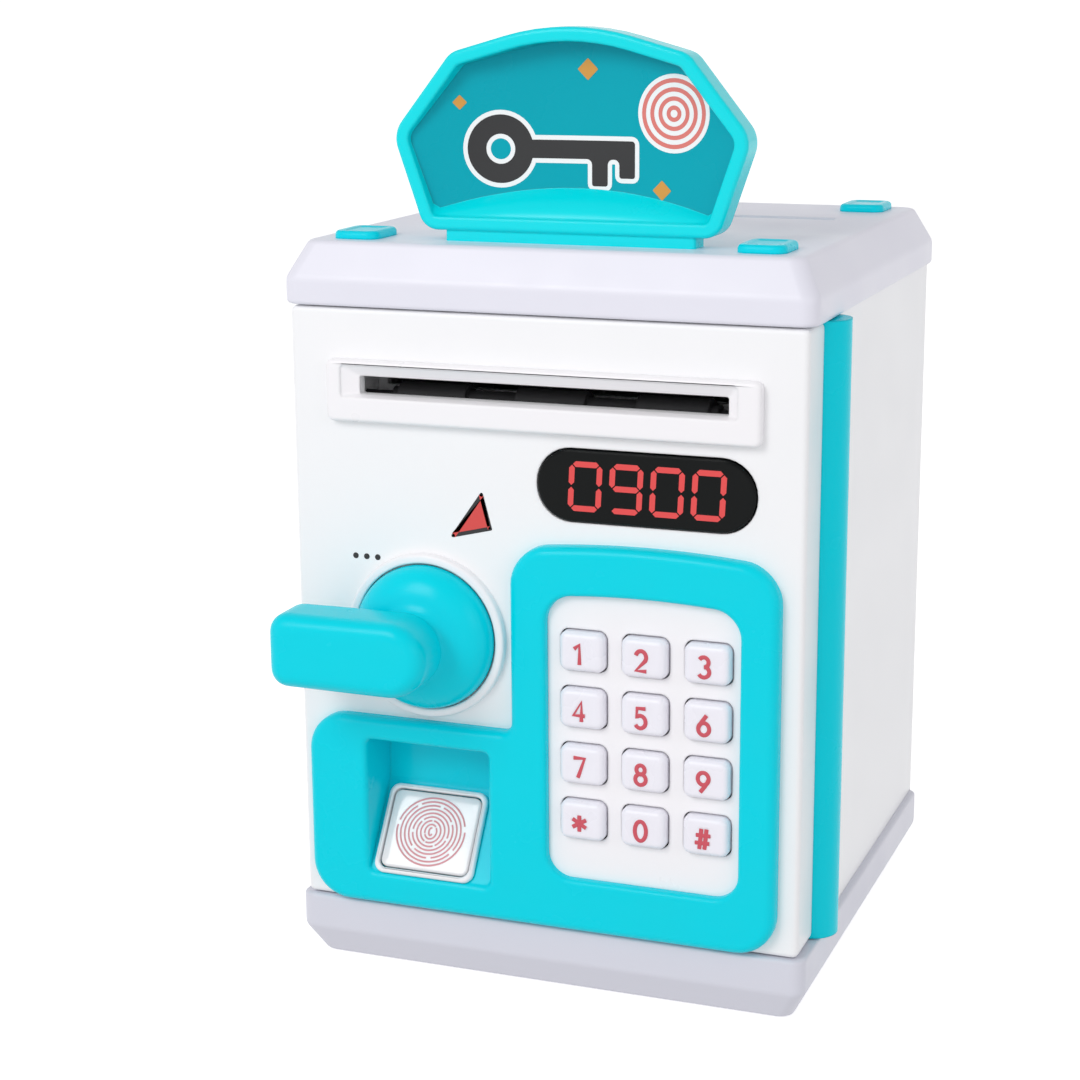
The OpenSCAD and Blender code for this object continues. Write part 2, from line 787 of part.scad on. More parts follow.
// Places its child at the middle of one key, counted left to right from the top row
module at_key(index) {
    col = index % key_cols;
    row = floor(index / key_cols);
    translate([keys_x + (col - 1) * key_pitch_x, keys_z + (1.5 - row) * key_pitch_z]) children();
}

module keypad_plate() {
    color(WHITE) slab(face_y - plate_thick, face_y) difference() {
        window_outline(-0.1);
        for (i = [0:len(KEYS) - 1]) at_key(i)
            round_rect(key_w + 2 * keyhole_gap, key_h + 2 * keyhole_gap, 2 + keyhole_gap);
    }
}

module key(index) {
    lip_y = face_y + 0.4;
    color(WHITE) {
        slab(cap_front_y + 0.6, lip_y + eps) at_key(index) round_rect(key_w, key_h, 2);
        slab(cap_front_y, lip_y) at_key(index) round_rect(key_w - 1.2, key_h - 1.2, 1.6);
        slab(lip_y, lip_y + 0.9) at_key(index) round_rect(key_w + 2 * key_lip, key_h + 2 * key_lip, 2);
        slab(lip_y, membrane_y - key_travel - 0.4) at_key(index) circle(2);
    }
}

module key_membrane() {
    w = 2 * key_pitch_x + key_w;
    h = 3 * key_pitch_z + key_h;
    color(RUBBER) {
        slab(membrane_y + 1, membrane_y + membrane_t) translate([keys_x, keys_z]) round_rect(w, h, 2);
        slab(membrane_y, membrane_y + 1 + eps) for (i = [0:len(KEYS) - 1]) at_key(i) circle(3.4);
    }
}

module control_board() {
    y0 = membrane_y + membrane_t;
    color(BOARD_GREEN) block(tall_x0, 54, y0, y0 + board_t, 32, 118);
}

module knob_collar() {
    color(WHITE) difference() {
        union() {
            rod_y(knob_x, knob_z, face_y - 1.4, face_y, knob_r + 2.6);
            rod_y(knob_x, knob_z, face_y - 2.2, face_y, knob_r + 1.8);
        }
        rod_y(knob_x, knob_z, face_y - 3, face_y + 1, knob_r + gap);
    }
}

// ---- Knob and latch ----
module door_knob() {
    rear = face_y - gap;
    top_r = hub_r - 2;
    rim_h = 3;
    round = [for (a = [0:10:80]) [top_r + (knob_r - top_r) * cos(a), rim_h + (dome_h - rim_h) * sin(a)]];
    dome = concat([[0, 0], [knob_r, 0]], round, [[top_r, dome_h], [0, dome_h]]);
    color(TURQUOISE) difference() {
        union() {
            translate([knob_x, rear, knob_z]) rotate([90, 0, 0]) rotate_extrude() polygon(dome);
            rod_y(knob_x, knob_z, lever_front_y + 2, rear - dome_h + 1, hub_r - 1);
            hull() {
                rod_y(knob_x, knob_z, lever_front_y + 1.5, lever_back_y, hub_r - 0.5);
                rod_y(knob_x, knob_z, lever_front_y, lever_back_y - 1, hub_r - 2);
                slab(lever_front_y + 1.5, lever_back_y)
                    round_box(knob_x - lever_reach, knob_x - lever_reach + 14,
                              knob_z - lever_h / 2, knob_z + lever_h / 2, 4);
                slab(lever_front_y, lever_back_y - 1)
                    round_box(knob_x - lever_reach + 1.5, knob_x - lever_reach + 12.5,
                              knob_z - lever_h / 2 + 1.5, knob_z + lever_h / 2 - 1.5, 3);
            }
        }
        rod_y(knob_x, knob_z, face_y - 12, face_y, spindle_r);
    }
}

module knob_spindle() {
    color(STEEL) rod_y(knob_x, knob_z, face_y - 12, cam_y1, spindle_r);
}

module latch_cam() {
    rest = 45;
    color(WHITE) {
        difference() {
            rod_y(knob_x, knob_z, cam_y0, cam_y1, cam_r);
            rod_y(knob_x, knob_z, cam_y0 - 1, cam_y1 + 1, spindle_r);
        }
        rod_y(knob_x + cam_throw * sin(rest), knob_z + cam_throw * cos(rest),
              cam_y1 - 0.5, bolt_y1 + 0.4, cam_pin_r);
    }
}

module latch_bolt() {
    nose_len = 6.5;
    yoke_half = cam_pin_r + 0.35;
    yoke_x = knob_x + cam_throw * sin(45);
    yoke_z0 = knob_z + cam_throw * cos(45) - cam_pin_r - gap;
    yoke_z1 = knob_z + cam_throw + cam_pin_r + gap;
    color(STEEL) slab(bolt_y0, bolt_y1) difference() {
        union() {
            translate([bolt_tip_x, nose_z0]) square([3 * nose_len, nose_z1 - nose_z0]);
            translate([bolt_tip_x + nose_len, bolt_z0])
                square([bolt_tail_x - bolt_tip_x - nose_len, bolt_z1 - bolt_z0]);
        }
        translate([yoke_x - yoke_half, yoke_z0]) square([2 * yoke_half, yoke_z1 - yoke_z0]);
        translate([plunger_x + bolt_travel - 2.6, bolt_z1 - 2.5]) square([5.2, 3]);
    }
}

module bolt_guide() {
    x0 = knob_x - 19.8;
    x1 = knob_x + 16.7;
    rail = 3.6;
    lip = 1.5;
    rear = bolt_y1 + 1.6;
    color(WHITE) difference() {
        union() {
            block(x0, x1, back_plate_y1, rear, bolt_z0 - gap - rail, bolt_z0 - gap);
            block(x0, x1, back_plate_y1, rear, bolt_z1 + gap, bolt_z1 + gap + rail);
            block(x0, x1, bolt_y1 + 0.4, rear, bolt_z0 - gap - rail, bolt_z0 + lip);
            block(x0, x1, bolt_y1 + 0.4, rear, bolt_z1 - lip, bolt_z1 + gap + rail);
            block(x1 - 2, x1, back_plate_y1, rear, bolt_z0 - gap - rail, bolt_z1 + gap + rail);
        }
        rod_z(plunger_x, (bolt_y0 + bolt_y1) / 2, bolt_z1 - 4, solenoid_z0, plunger_r + gap);
    }
}

module lock_solenoid() {
    mid = (bolt_y0 + bolt_y1) / 2;
    color(STEEL) difference() {
        block(plunger_x - 6, plunger_x + 6, back_plate_y1, mid + 5, solenoid_z0, solenoid_z1);
        rod_z(plunger_x, mid, solenoid_z0 - 1, solenoid_z1 - 1.5, plunger_r + fit);
    }
}

module solenoid_plunger() {
    color(RUBBER) rod_z(plunger_x, (bolt_y0 + bolt_y1) / 2, bolt_z1 + 0.4, solenoid_z1 - 5, plunger_r);
}

// ---- Note feed ----
module roller_frame() {
    y0 = roller_y - 6.6;
    y1 = roller_y + 6.8;
    low = slot_z - 10.8;
    high = slot_z + 10.7;
    color(WHITE) difference() {
        union() {
            block(-frame_x, -frame_x + frame_t, y0, y1, motor_z - 5.6, high);
            block(frame_x - frame_t, frame_x, y0, y1, low, high);
            block(-frame_x, frame_x, y0, y0 + 2, low, low + 1.6);
            block(-frame_x, frame_x, y0, y0 + 2, high - 1.6, high);
        }
        for (s = [-1, 1]) rod_x(roller_y, slot_z + s * roller_off, -frame_x - 1, frame_x + 1, shaft_r + fit);
        rod_x(roller_y, motor_z, -frame_x - 1, -frame_x + frame_t + 1, motor_shaft_r + 0.4);
    }
}

// Rubber roller moulded on its shaft: three grips between bare lengths
module roller(z, shaft_x0, shaft_x1) {
    grip_half = 9;
    color(RUBBER) {
        rod_x(roller_y, z, shaft_x0, shaft_x1, shaft_r);
        rod_x(roller_y, z, -42, 42, 2.8);
        for (i = [-1:1]) rod_x(roller_y, z, 31 * i - grip_half, 31 * i + grip_half, roller_r);
    }
}

module feed_roller() {
    roller(slot_z - roller_off, gear_x, frame_x + 1);
}

module pinch_roller() {
    roller(slot_z + roller_off, -frame_x - 1, frame_x + 1);
}

module feed_gear() {
    color(TURQUOISE) translate([0, roller_y, slot_z - roller_off])
        difference() {
            union() {
                slab_x(gear_x, gear_x + gear_w) gear_outline(feed_teeth);
                rod_x(0, 0, gear_x, gear_x + gear_w + gear_boss, 2 * shaft_r);
            }
            rod_x(0, 0, gear_x - 1, gear_x + gear_w + 2, shaft_r);
        }
}

module motor_pinion() {
    color(STEEL) translate([0, roller_y, motor_z]) {
        slab_x(gear_x, gear_x + gear_w) gear_outline(pinion_teeth);
        rod_x(0, 0, gear_x + 1, -frame_x + frame_t + 6, motor_shaft_r);
    }
}

module feed_motor() {
    x0 = -frame_x + frame_t;
    color(STEEL) difference() {
        rod_x(roller_y, motor_z, x0, x0 + motor_len, motor_r);
        rod_x(roller_y, motor_z, x0 - 1, x0 + 7, motor_shaft_r + fit);
    }
}

module door_screws() {
    color(STEEL) for (p = door_screw_at) {
        rod_y(p[0], p[1], face_y + 6, back_plate_y1 + 0.2, door_screw_r);
        rod_y(p[0], p[1], back_plate_y1, back_plate_y1 + 1.2, 2.4);
    }
}

// ---- Assembly ----
base_shell();
bottom_plate();
battery_box();
battery_contacts();
batteries();
battery_cover();
cover_screw();
base_screws();
cabinet();
door_keeper();
top_lid();
lid_liner();
lid_screws();
header_sign();
coin_chute();
hinge_pins();
speaker();
door_shell();
door_back();
hinge_barrel();
slot_bezel();
display_window();
display_module();
fascia();
keypad_plate();
key_membrane();
control_board();
fingerprint_frame();
knob_collar();
bolt_guide();
lock_solenoid();
roller_frame();
feed_motor();
door_screws();
fingerprint_button();
door_knob();
knob_spindle();
latch_cam();
latch_bolt();
solenoid_plunger();
feed_roller();
feed_gear();
pinch_roller();
motor_pinion();
for (i = [0:len(PADS) - 1]) lid_pad(i);
for (i = [0:len(KEYS) - 1]) key(i);
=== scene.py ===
"""Looks of a toy cash-machine savings bank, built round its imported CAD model.

Metres; X right, Y back, Z up.
"""

import math

import bmesh
import bpy
from mathutils import Matrix, Vector


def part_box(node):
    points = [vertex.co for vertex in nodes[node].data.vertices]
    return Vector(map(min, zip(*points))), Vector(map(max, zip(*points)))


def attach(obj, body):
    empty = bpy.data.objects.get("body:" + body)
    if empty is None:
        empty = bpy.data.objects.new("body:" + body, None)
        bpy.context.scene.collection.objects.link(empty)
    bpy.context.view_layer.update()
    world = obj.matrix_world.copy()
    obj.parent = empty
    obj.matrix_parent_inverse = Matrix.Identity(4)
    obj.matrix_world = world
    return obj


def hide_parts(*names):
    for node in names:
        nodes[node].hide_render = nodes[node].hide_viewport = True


MM = 0.001

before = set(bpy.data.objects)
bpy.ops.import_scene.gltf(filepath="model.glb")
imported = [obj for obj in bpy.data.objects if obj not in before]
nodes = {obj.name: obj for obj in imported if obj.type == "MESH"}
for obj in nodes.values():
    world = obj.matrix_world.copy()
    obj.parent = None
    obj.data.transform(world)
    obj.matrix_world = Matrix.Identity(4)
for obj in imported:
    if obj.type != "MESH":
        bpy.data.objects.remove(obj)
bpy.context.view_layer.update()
bpy.context.scene.view_settings.view_transform = "Standard"


# ---- Materials: every one is built from nodes ----
def lin(*srgb):
    """A linear colour with full alpha from 0-255 screen values."""
    scaled = [c / 255 for c in srgb]
    return (*[c / 12.92 if c <= 0.04045 else ((c + 0.055) / 1.055) ** 2.4 for c in scaled], 1)


def shade(colour, share):
    """The colour made darker or lighter by a share."""
    return (*[min(1.0, c * share) for c in colour[:3]], 1)


def surface(name, colour, rough=0.35, tone=0.04, rough_tone=0.08, grain=0.00002, grain_scale=1800,
            wear=0.25, metallic=0.0, coat=0.0, soft=0.0, glow=0.0, specular=0.5):
    """Moulded or finished surface: soft mottling, fine grain, uneven gloss and worn, paler edges.

    Inks have no wear and skip the softened edges.
    """
    material = bpy.data.materials.new(name)
    material.use_nodes = True
    tree = material.node_tree
    shader = tree.nodes["Principled BSDF"]
    link = tree.links.new

    def add(kind, **values):
        node = tree.nodes.new(kind)
        for key, value in values.items():
            if isinstance(key, str) and key in node.inputs:
                node.inputs[key].default_value = value
            else:
                setattr(node, key, value)
        return node

    place = add("ShaderNodeTexCoord")
    mottle = add("ShaderNodeTexNoise", Scale=45, Detail=4.0, Roughness=0.55)
    fine = add("ShaderNodeTexNoise", Scale=grain_scale, Detail=3.0, Roughness=0.6)
    for noise in (mottle, fine):
        link(place.outputs["Object"], noise.inputs["Vector"])
    blend = add("ShaderNodeMix", data_type="RGBA")
    blend.inputs["A"].default_value = shade(colour, 1 - tone)
    blend.inputs["B"].default_value = shade(colour, 1 + tone)
    link(mottle.outputs["Fac"], blend.inputs["Factor"])

    bump = add("ShaderNodeBump", Strength=0.35, Distance=grain)
    link(fine.outputs["Fac"], bump.inputs["Height"])
    link(bump.outputs["Normal"], shader.inputs["Normal"])
    if wear:
        rounded = add("ShaderNodeBevel", samples=3, Radius=0.0007)
        geometry = add("ShaderNodeNewGeometry")
        turn = add("ShaderNodeVectorMath", operation="DOT_PRODUCT")
        link(rounded.outputs["Normal"], turn.inputs[0])
        link(geometry.outputs["Normal"], turn.inputs[1])
        edge = add("ShaderNodeMapRange")
        for key, value in (("From Min", 0.995), ("From Max", 0.8), ("To Min", 0.0), ("To Max", wear)):
            edge.inputs[key].default_value = value
        link(turn.outputs["Value"], edge.inputs["Value"])
        worn = add("ShaderNodeMix", data_type="RGBA")
        worn.inputs["B"].default_value = shade(colour, 1.18)
        link(edge.outputs["Result"], worn.inputs["Factor"])
        link(blend.outputs["Result"], worn.inputs["A"])
        link(worn.outputs["Result"], shader.inputs["Base Color"])
        link(rounded.outputs["Normal"], bump.inputs["Normal"])
    else:
        link(blend.outputs["Result"], shader.inputs["Base Color"])

    gloss = add("ShaderNodeMapRange")
    for key, value in (("From Min", 0.3), ("From Max", 0.7),
                       ("To Min", rough - rough_tone), ("To Max", rough + rough_tone)):
        gloss.inputs[key].default_value = value
    link(mottle.outputs["Fac"], gloss.inputs["Value"])
    link(gloss.outputs["Result"], shader.inputs["Roughness"])

    shader.inputs["Specular IOR Level"].default_value = specular
    shader.inputs["Metallic"].default_value = metallic
    shader.inputs["Coat Weight"].default_value = coat
    shader.inputs["Coat Roughness"].default_value = 0.12
    shader.inputs["Subsurface Weight"].default_value = soft
    shader.inputs["Subsurface Radius"].default_value = (0.003, 0.003, 0.003)
    shader.inputs["Subsurface Scale"].default_value = 0.6
    shader.inputs["Emission Color"].default_value = colour
    shader.inputs["Emission Strength"].default_value = glow
    return material


MATERIALS = {
    "white": surface("white_shell", lin(246, 246, 247), rough=0.38, tone=0.012),
    # The lid and the base are the white shell plastic darkened to a lilac grey as painted shade, the base
    # more than the lid.
    "lid": surface("grey_white_shell", lin(231, 230, 240), rough=0.36, tone=0.015),
    "base": surface("base_white_painted_shade", lin(216, 216, 226), rough=0.38, tone=0.015),
    "trim": surface("white_trim", lin(247, 245, 247), rough=0.34, tone=0.012),
    "key": surface("key_caps", lin(244, 242, 250), rough=0.28, tone=0.015, soft=0.1),
    "turquoise": surface("turquoise_plastic", lin(0, 216, 232), rough=0.24, tone=0.02, wear=0.1,
                         specular=0.14),
    # The sign's hollowed floor is the turquoise darkened as painted shade.
    "sign": surface("sign_plastic", lin(0, 166, 182), rough=0.3, tone=0.02, wear=0.1, specular=0.12),
    "black": surface("display_black", lin(8, 11, 11), rough=0.16, tone=0.06, wear=0.1, specular=0.12),
    "dark": surface("module_black", lin(34, 35, 37), rough=0.5),
    "silicone": surface("white_silicone", lin(232, 232, 238), rough=0.6, tone=0.03),
    "rubber": surface("rubber", lin(48, 48, 50), rough=0.7, tone=0.08, grain=0.00006),
    "steel": surface("steel", lin(190, 192, 196), rough=0.3, tone=0.06, metallic=1.0),
    "green": surface("circuit_board", lin(26, 92, 58), rough=0.35, tone=0.1),
    "sleeve": surface("battery_sleeve", lin(52, 56, 60), rough=0.32, tone=0.06),
    "led": surface("lit_figure", lin(205, 62, 62), rough=0.4, wear=0.0, glow=0.25),
    "legend": surface("legend_ink", lin(205, 78, 92), rough=0.45, wear=0.0),
    "pad": surface("print_pad_face", lin(238, 234, 235), rough=0.22, soft=0.15, coat=0.4),
    "ridge": surface("print_ridge", lin(220, 146, 152), rough=0.4, wear=0.0),
    # The sign's rim is the turquoise lightened as painted light on its front face.
    "rim": surface("sign_rim_painted_light", lin(0, 224, 232), rough=0.22, tone=0.02, wear=0.1, specular=0.25),
    "print_white": surface("white_ink", lin(244, 246, 246), rough=0.45, wear=0.0),
    "black_print_and_hole_shade": surface("black_ink_and_hole_shade", lin(26, 26, 28), rough=0.4, wear=0.0),
    "print_pink": surface("pink_ink", lin(222, 120, 112), rough=0.45, wear=0.0),
    "print_orange": surface("orange_ink", lin(214, 150, 60), rough=0.45, wear=0.0),
    "print_red": surface("red_ink", lin(216, 70, 66), rough=0.45, wear=0.0),
    "paper": surface("speaker_cone", lin(44, 44, 46), rough=0.85, tone=0.1, grain=0.0001),
}

FINISH = {
    "white": ["door_back", "cabinet", "lid_liner", "coin_chute", "battery_box", "bolt_guide", "roller_frame",
              "latch_cam"],
    "trim": ["keypad_plate"],
    # The bottom plate and battery cover share the base's painted shade.
    "base": ["bottom_plate", "battery_cover"],
    "turquoise": ["hinge_barrel", "feed_gear"],
    "dark": ["display_module", "solenoid_plunger"],
    "silicone": ["key_membrane"],
    "rubber": ["feed_roller", "pinch_roller"],
    "steel": ["battery_contacts", "cover_screw", "base_screws", "door_keeper", "lid_screws", "hinge_pins",
              "lock_solenoid", "feed_motor", "door_screws", "knob_spindle", "latch_bolt", "motor_pinion"],
    "green": ["control_board"],
    "sleeve": ["batteries"],
    "paper": ["speaker"],
}
for finish, names in FINISH.items():
    for name in names:
        nodes[name].data.materials.clear()
        nodes[name].data.materials.append(MATERIALS[finish])


# ---- Shape tools, in millimetres; an outline is a list of (u, v, outward u, outward v) ----
def front(u, v, depth):
    """Outline in X and Z, depth along Y."""
    return Vector((u, depth, v))


def upright(u, v, depth):
    """Outline in X and Y, depth along Z."""
    return Vector((u, v, depth))


def outline(corners, arc_steps=8, line_step=0):
    """Closed outline through (u, v, radius) corners taken anticlockwise, each rounded to its radius.

    A corner of no radius stays one point, square to the line before it.
    """
    points = []
    count = len(corners)
    for i in range(count):
        before, here, after = (Vector(corners[(i + k) % count][:2]) for k in (-1, 0, 1))
        radius = corners[i][2]
        way_in, way_out = (here - before).normalized(), (after - here).normalized()
        turn = way_in.angle_signed(way_out) * -1
        side = 1 if turn > 0 else -1
        start = here - way_in * radius * math.tan(abs(turn) / 2)
        centre = start + Vector((-way_in.y, way_in.x)) * radius * side
        if line_step and points:
            last = Vector(points[-1][:2])
            pieces = max(1, int((start - last).length / line_step))
            for k in range(1, pieces):
                spot = last.lerp(start, k / pieces)
                points.append((spot.x, spot.y, way_in.y, -way_in.x))
        for k in range(arc_steps + 1 if radius else 1):
            direction = way_in.copy()
            direction.rotate(Matrix.Rotation(turn * k / arc_steps, 2))
            out = Vector((direction.y, -direction.x))
            spot = centre + out * radius * side
            points.append((spot.x, spot.y, out.x, out.y))
    if line_step:
        last, first = Vector(points[-1][:2]), Vector(points[0][:2])
        pieces = max(1, int((first - last).length / line_step))
        for k in range(1, pieces):
            spot = last.lerp(first, k / pieces)
            points.append((spot.x, spot.y, points[-1][2], points[-1][3]))
    return points


def rect(u0, u1, v0, v1, radius, arc_steps=8, line_step=0):
    """Rectangle with round corners."""
    return outline([(u0, v0, radius), (u1, v0, radius), (u1, v1, radius), (u0, v1, radius)],
                   arc_steps, line_step)


def circle(u, v, radius, steps=96):
    """Round outline."""
    turns = [2 * math.pi * k / steps for k in range(steps)]
    return [(u + radius * math.cos(a), v + radius * math.sin(a), math.cos(a), math.sin(a)) for a in turns]


def arched(points, v_from, v_to, rise):
    """Raises an outline's top edge in a shallow arch."""
    us = [p[0] for p in points]
    middle, half = (min(us) + max(us)) / 2, (max(us) - min(us)) / 2
    lifted = []
    for u, v, nu, nv in points:
        share = min(1, max(0, (v - v_from) / (v_to - v_from)))
        lifted.append((u, v + rise * share * (1 - ((u - middle) / half) ** 2), nu, nv))
    return lifted


def inset(points, amount):
    """The outline moved inwards by an amount, or outwards if it is negative."""
    return [(u - nu * amount, v - nv * amount, nu, nv) for u, v, nu, nv in points]


def loft(bm, place, sections, material=0):
    """Skins a run of (outline, depth) sections with the same number of points; returns their rings."""
    rings = [[bm.verts.new(place(u, v, depth)) for u, v, _, _ in points] for points, depth in sections]
    for a, b in zip(rings, rings[1:]):
        for i in range(len(a)):
            bm.faces.new((a[i - 1], a[i], b[i], b[i - 1])).material_index = material
    return rings


def cap(bm, *rings, material=0):
    """Fills a flat face bounded by one ring and pierced by the others."""
    edges = set()
    for ring in rings:
        for i in range(len(ring)):
            edges.add(bm.edges.get((ring[i - 1], ring[i])) or bm.edges.new((ring[i - 1], ring[i])))
    made = bmesh.ops.triangle_fill(bm, use_beauty=True, use_dissolve=False, edges=list(edges))
    for item in made["geom"]:
        if isinstance(item, bmesh.types.BMFace):
            item.material_index = material


def round_over(points, radius, depth, way, steps=5):
    """Sections that round an outline's edge: from its full size to radius inside it, ending at a depth."""
    turns = [math.pi / 2 * k / steps for k in range(steps + 1)]
    return [(inset(points, radius * (1 - math.cos(a))), depth + way * abs(radius) * (1 - math.sin(a)))
            for a in turns]


def strokes(bm, paths, width, place, lift, rise, material=1):
    """Raised strokes of one width along (u, v) paths, on a surface at height lift."""
    curve = bpy.data.curves.new("strokes", "CURVE")
    curve.dimensions = "3D"
    curve.bevel_depth = width / 2
    curve.bevel_resolution = 2
    curve.use_fill_caps = True
    for path in paths:
        closed = (Vector(path[0]) - Vector(path[-1])).length < 1e-6
        spots = path[:-1] if closed else path
        spline = curve.splines.new("POLY")
        spline.points.add(len(spots) - 1)
        for point, (u, v) in zip(spline.points, spots):
            point.co = (u, v, 0, 1)
        spline.use_cyclic_u = closed
    holder = bpy.data.objects.new("strokes", curve)
    mesh = bpy.data.meshes.new_from_object(holder)
    first_face, first_vert = len(bm.faces), len(bm.verts)
    bm.from_mesh(mesh)
    bm.faces.ensure_lookup_table()
    bm.verts.ensure_lookup_table()
    for face in bm.faces[first_face:]:
        face.material_index = material
    for vert in bm.verts[first_vert:]:
        height = lift(vert.co.x, vert.co.y) if callable(lift) else lift
        vert.co = place(vert.co.x, vert.co.y, height + vert.co.z / width * rise)
    bpy.data.objects.remove(holder)
    bpy.data.curves.remove(curve)
    bpy.data.meshes.remove(mesh)


def piece(bm, name, body, finishes, slot, *replaced, sharp=40):
    """Makes a shown piece of a millimetre mesh: smooth shaded, in its materials, riding on a body."""
    bmesh.ops.recalc_face_normals(bm, faces=bm.faces)
    bmesh.ops.scale(bm, vec=(MM, MM, MM), verts=bm.verts)
    mesh = bpy.data.meshes.new(name)
    bm.to_mesh(mesh)
    bm.free()
    for face in mesh.polygons:
        face.use_smooth = True
    mesh.set_sharp_from_angle(angle=math.radians(sharp))
    for finish in finishes:
        mesh.materials.append(MATERIALS[finish])
    made = bpy.data.objects.new(name, mesh)
    bpy.context.scene.collection.objects.link(made)
    even = made.modifiers.new("even_normals", "WEIGHTED_NORMAL")
    even.keep_sharp = True
    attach(made, body)
    if replaced:
        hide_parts(*replaced)
    return made


def corners(name):
    """A CAD node's lowest and highest corners, in millimetres."""
    low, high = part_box(name)
    return low / MM, high / MM


# ---- Lid and base ----
lid_low, lid_high = corners("top_lid")
base_low, base_high = corners("base_shell")
WALL = 2.5
CORNER_R = 4
LID_BAND = 6.5
LID_BEVEL = 4.5
BASE_BEVEL = 4.2
BASE_BEVEL_H = 8


def shell_ring(low, high, amount, radius=CORNER_R):
    """Upright rectangle a given amount inside a box."""
    return rect(low.x + amount, high.x - amount, low.y + amount, high.y - amount, radius)


def softened(profile, radius, steps=4):
    """Rounds the inner corners of an open (amount, height) profile."""
    made = [profile[0]]
    for before, here, after in zip(profile, profile[1:], profile[2:]):
        a, b, c = Vector(before), Vector(here), Vector(after)
        reach = min(radius, (a - b).length * 0.45, (c - b).length * 0.45)
        start, end = b + (a - b).normalized() * reach, b + (c - b).normalized() * reach
        for k in range(steps + 1):
            t = k / steps
            made.append(tuple(start * (1 - t) ** 2 + b * 2 * t * (1 - t) + end * t * t))
    made.append(profile[-1])
    return made


chute_low, chute_high = corners("coin_chute")
CHUTE_FLANGE = 3.7
coin_rect = (chute_low.x + CHUTE_FLANGE, chute_high.x - CHUTE_FLANGE,
             chute_low.y + CHUTE_FLANGE, chute_high.y - CHUTE_FLANGE)
coin_hole = rect(*coin_rect, 0.8)
roof_z = lid_high.z - WALL
band_z = lid_low.z + LID_BAND

bm = bmesh.new()
profile = [(LID_BEVEL + 1.6, roof_z), (WALL, band_z), (WALL, lid_low.z), (0, lid_low.z), (0, band_z),
           (LID_BEVEL, lid_high.z), (LID_BEVEL + 3, lid_high.z)]
rings = loft(bm, upright, [(shell_ring(lid_low, lid_high, a), z) for a, z in softened(profile, 1.1)])
holes = loft(bm, upright, round_over(coin_hole, -0.7, lid_high.z, -1)[::-1] + [(coin_hole, roof_z)])
cap(bm, rings[-1], holes[0])
cap(bm, rings[0], holes[-1])
piece(bm, "lid", "case", ["lid"], "grey_white_shell", "top_lid")

bm = bmesh.new()
box_low, box_high = corners("battery_box")
bay = rect(box_low.x - 0.3 + 3, box_high.x + 0.3 - 3, box_low.y - 0.3 + 2, box_high.y + 0.3 - 2, 0.5)
INNER_BASE = 7
profile = [(3, base_high.z - WALL), (3, BASE_BEVEL_H), (INNER_BASE, BASE_BEVEL_H), (INNER_BASE, 0),
           (BASE_BEVEL, 0), (0, BASE_BEVEL_H), (0, base_high.z), (3, base_high.z)]
rings = loft(bm, upright, [(shell_ring(base_low, base_high, a, 3.4), z) for a, z in softened(profile, 0.9)])
holes = loft(bm, upright, [(bay, base_high.z), (bay, base_high.z - WALL)])
cap(bm, rings[-1], holes[0])
cap(bm, rings[0], holes[-1])
piece(bm, "base", "case", ["base"], "grey_white_shell", "base_shell")

for name in ("front_left", "front_right", "back_left", "back_right"):
    pad_low, pad_high = corners("lid_pad_" + name)
    pad = rect(pad_low.x, pad_high.x, pad_low.y, pad_high.y, 3)
    bm = bmesh.new()
    run = [(pad, lid_high.z)] + [(p, z) for p, z in round_over(pad, 1.1, pad_high.z, -1)]
    run.append((inset(pad, 2.2), pad_high.z))
    run.append((inset(pad, 2.7), pad_high.z - 0.25))
    rings = loft(bm, upright, run)
    cap(bm, rings[-1])
    cap(bm, rings[0])
    piece(bm, "pad_" + name, "case", ["turquoise"], "turquoise_plastic", "lid_pad_" + name)

# ---- Door front ----
door_low, door_high = corners("door_shell")
bezel_low, bezel_high = corners("slot_bezel")
glass_low, glass_high = corners("display_window")
fascia_low, fascia_high = corners("fascia")
plate_low, plate_high = corners("keypad_plate")
barrel_low, barrel_high = corners("hinge_barrel")
face_y = door_low.y
rear_y = door_high.y
hinge = Vector(((barrel_low.x + barrel_high.x) / 2, (barrel_low.y + barrel_high.y) / 2))
barrel_r = (barrel_high.x - barrel_low.x) / 2
SLOT_HALF = 47
SLOT_LOW = 150.1
SLOT_HIGH = 154.7
slot_hole = rect(-SLOT_HALF, SLOT_HALF, SLOT_LOW, SLOT_HIGH, 0.6)
glass_hole = rect(glass_low.x - 0.3, glass_high.x + 0.3, glass_low.z - 0.3, glass_high.z + 0.3,
                  (glass_high.z - glass_low.z) / 2)

POCKET = (-46.4, -13.2, 26.6, 62.0)
POCKET_BACK = face_y + 11
FASCIA_FRONT = face_y - 4
TALL_X = -7.2
LOW_TOP = 67.9
TALL_TOP = 114.9
TALL_ARCH = fascia_high.z - TALL_TOP
pocket_hole = rect(*POCKET, 1.5)
key_hole = rect(plate_low.x + 2.5, plate_high.x - 2.5, plate_low.z + 7, plate_high.z - 6, 1)

bm = bmesh.new()
STEP_X = hinge.x - barrel_r - 1.8


def door_ring(amount, radius):
    """The door's edge a given amount inside its box, with a break in line where the hinge bar's step is."""
    x0, x1, z0, z1 = door_low.x + amount, door_high.x - amount, door_low.z + amount, door_high.z - amount
    return outline([(x0, z0, radius), (STEP_X, z0, 0), (x1, z0, radius),
                    (x1, z1, radius), (STEP_X, z1, 0), (x0, z1, radius)], 4)


face = door_ring(0, 1.6)
inner = door_ring(WALL, 0.6)
pocket_room = rect(POCKET[0] - 1.2, POCKET[1] + 1.2, POCKET[2] - 1.2, POCKET[3] + 1.2, 1.5)

def rear(u, v, depth):
    """Front placing whose rearmost depth steps forward round the hinge bar."""
    return Vector((u, min(depth, hinge.y - barrel_r - 0.05) if u > STEP_X else depth, v))


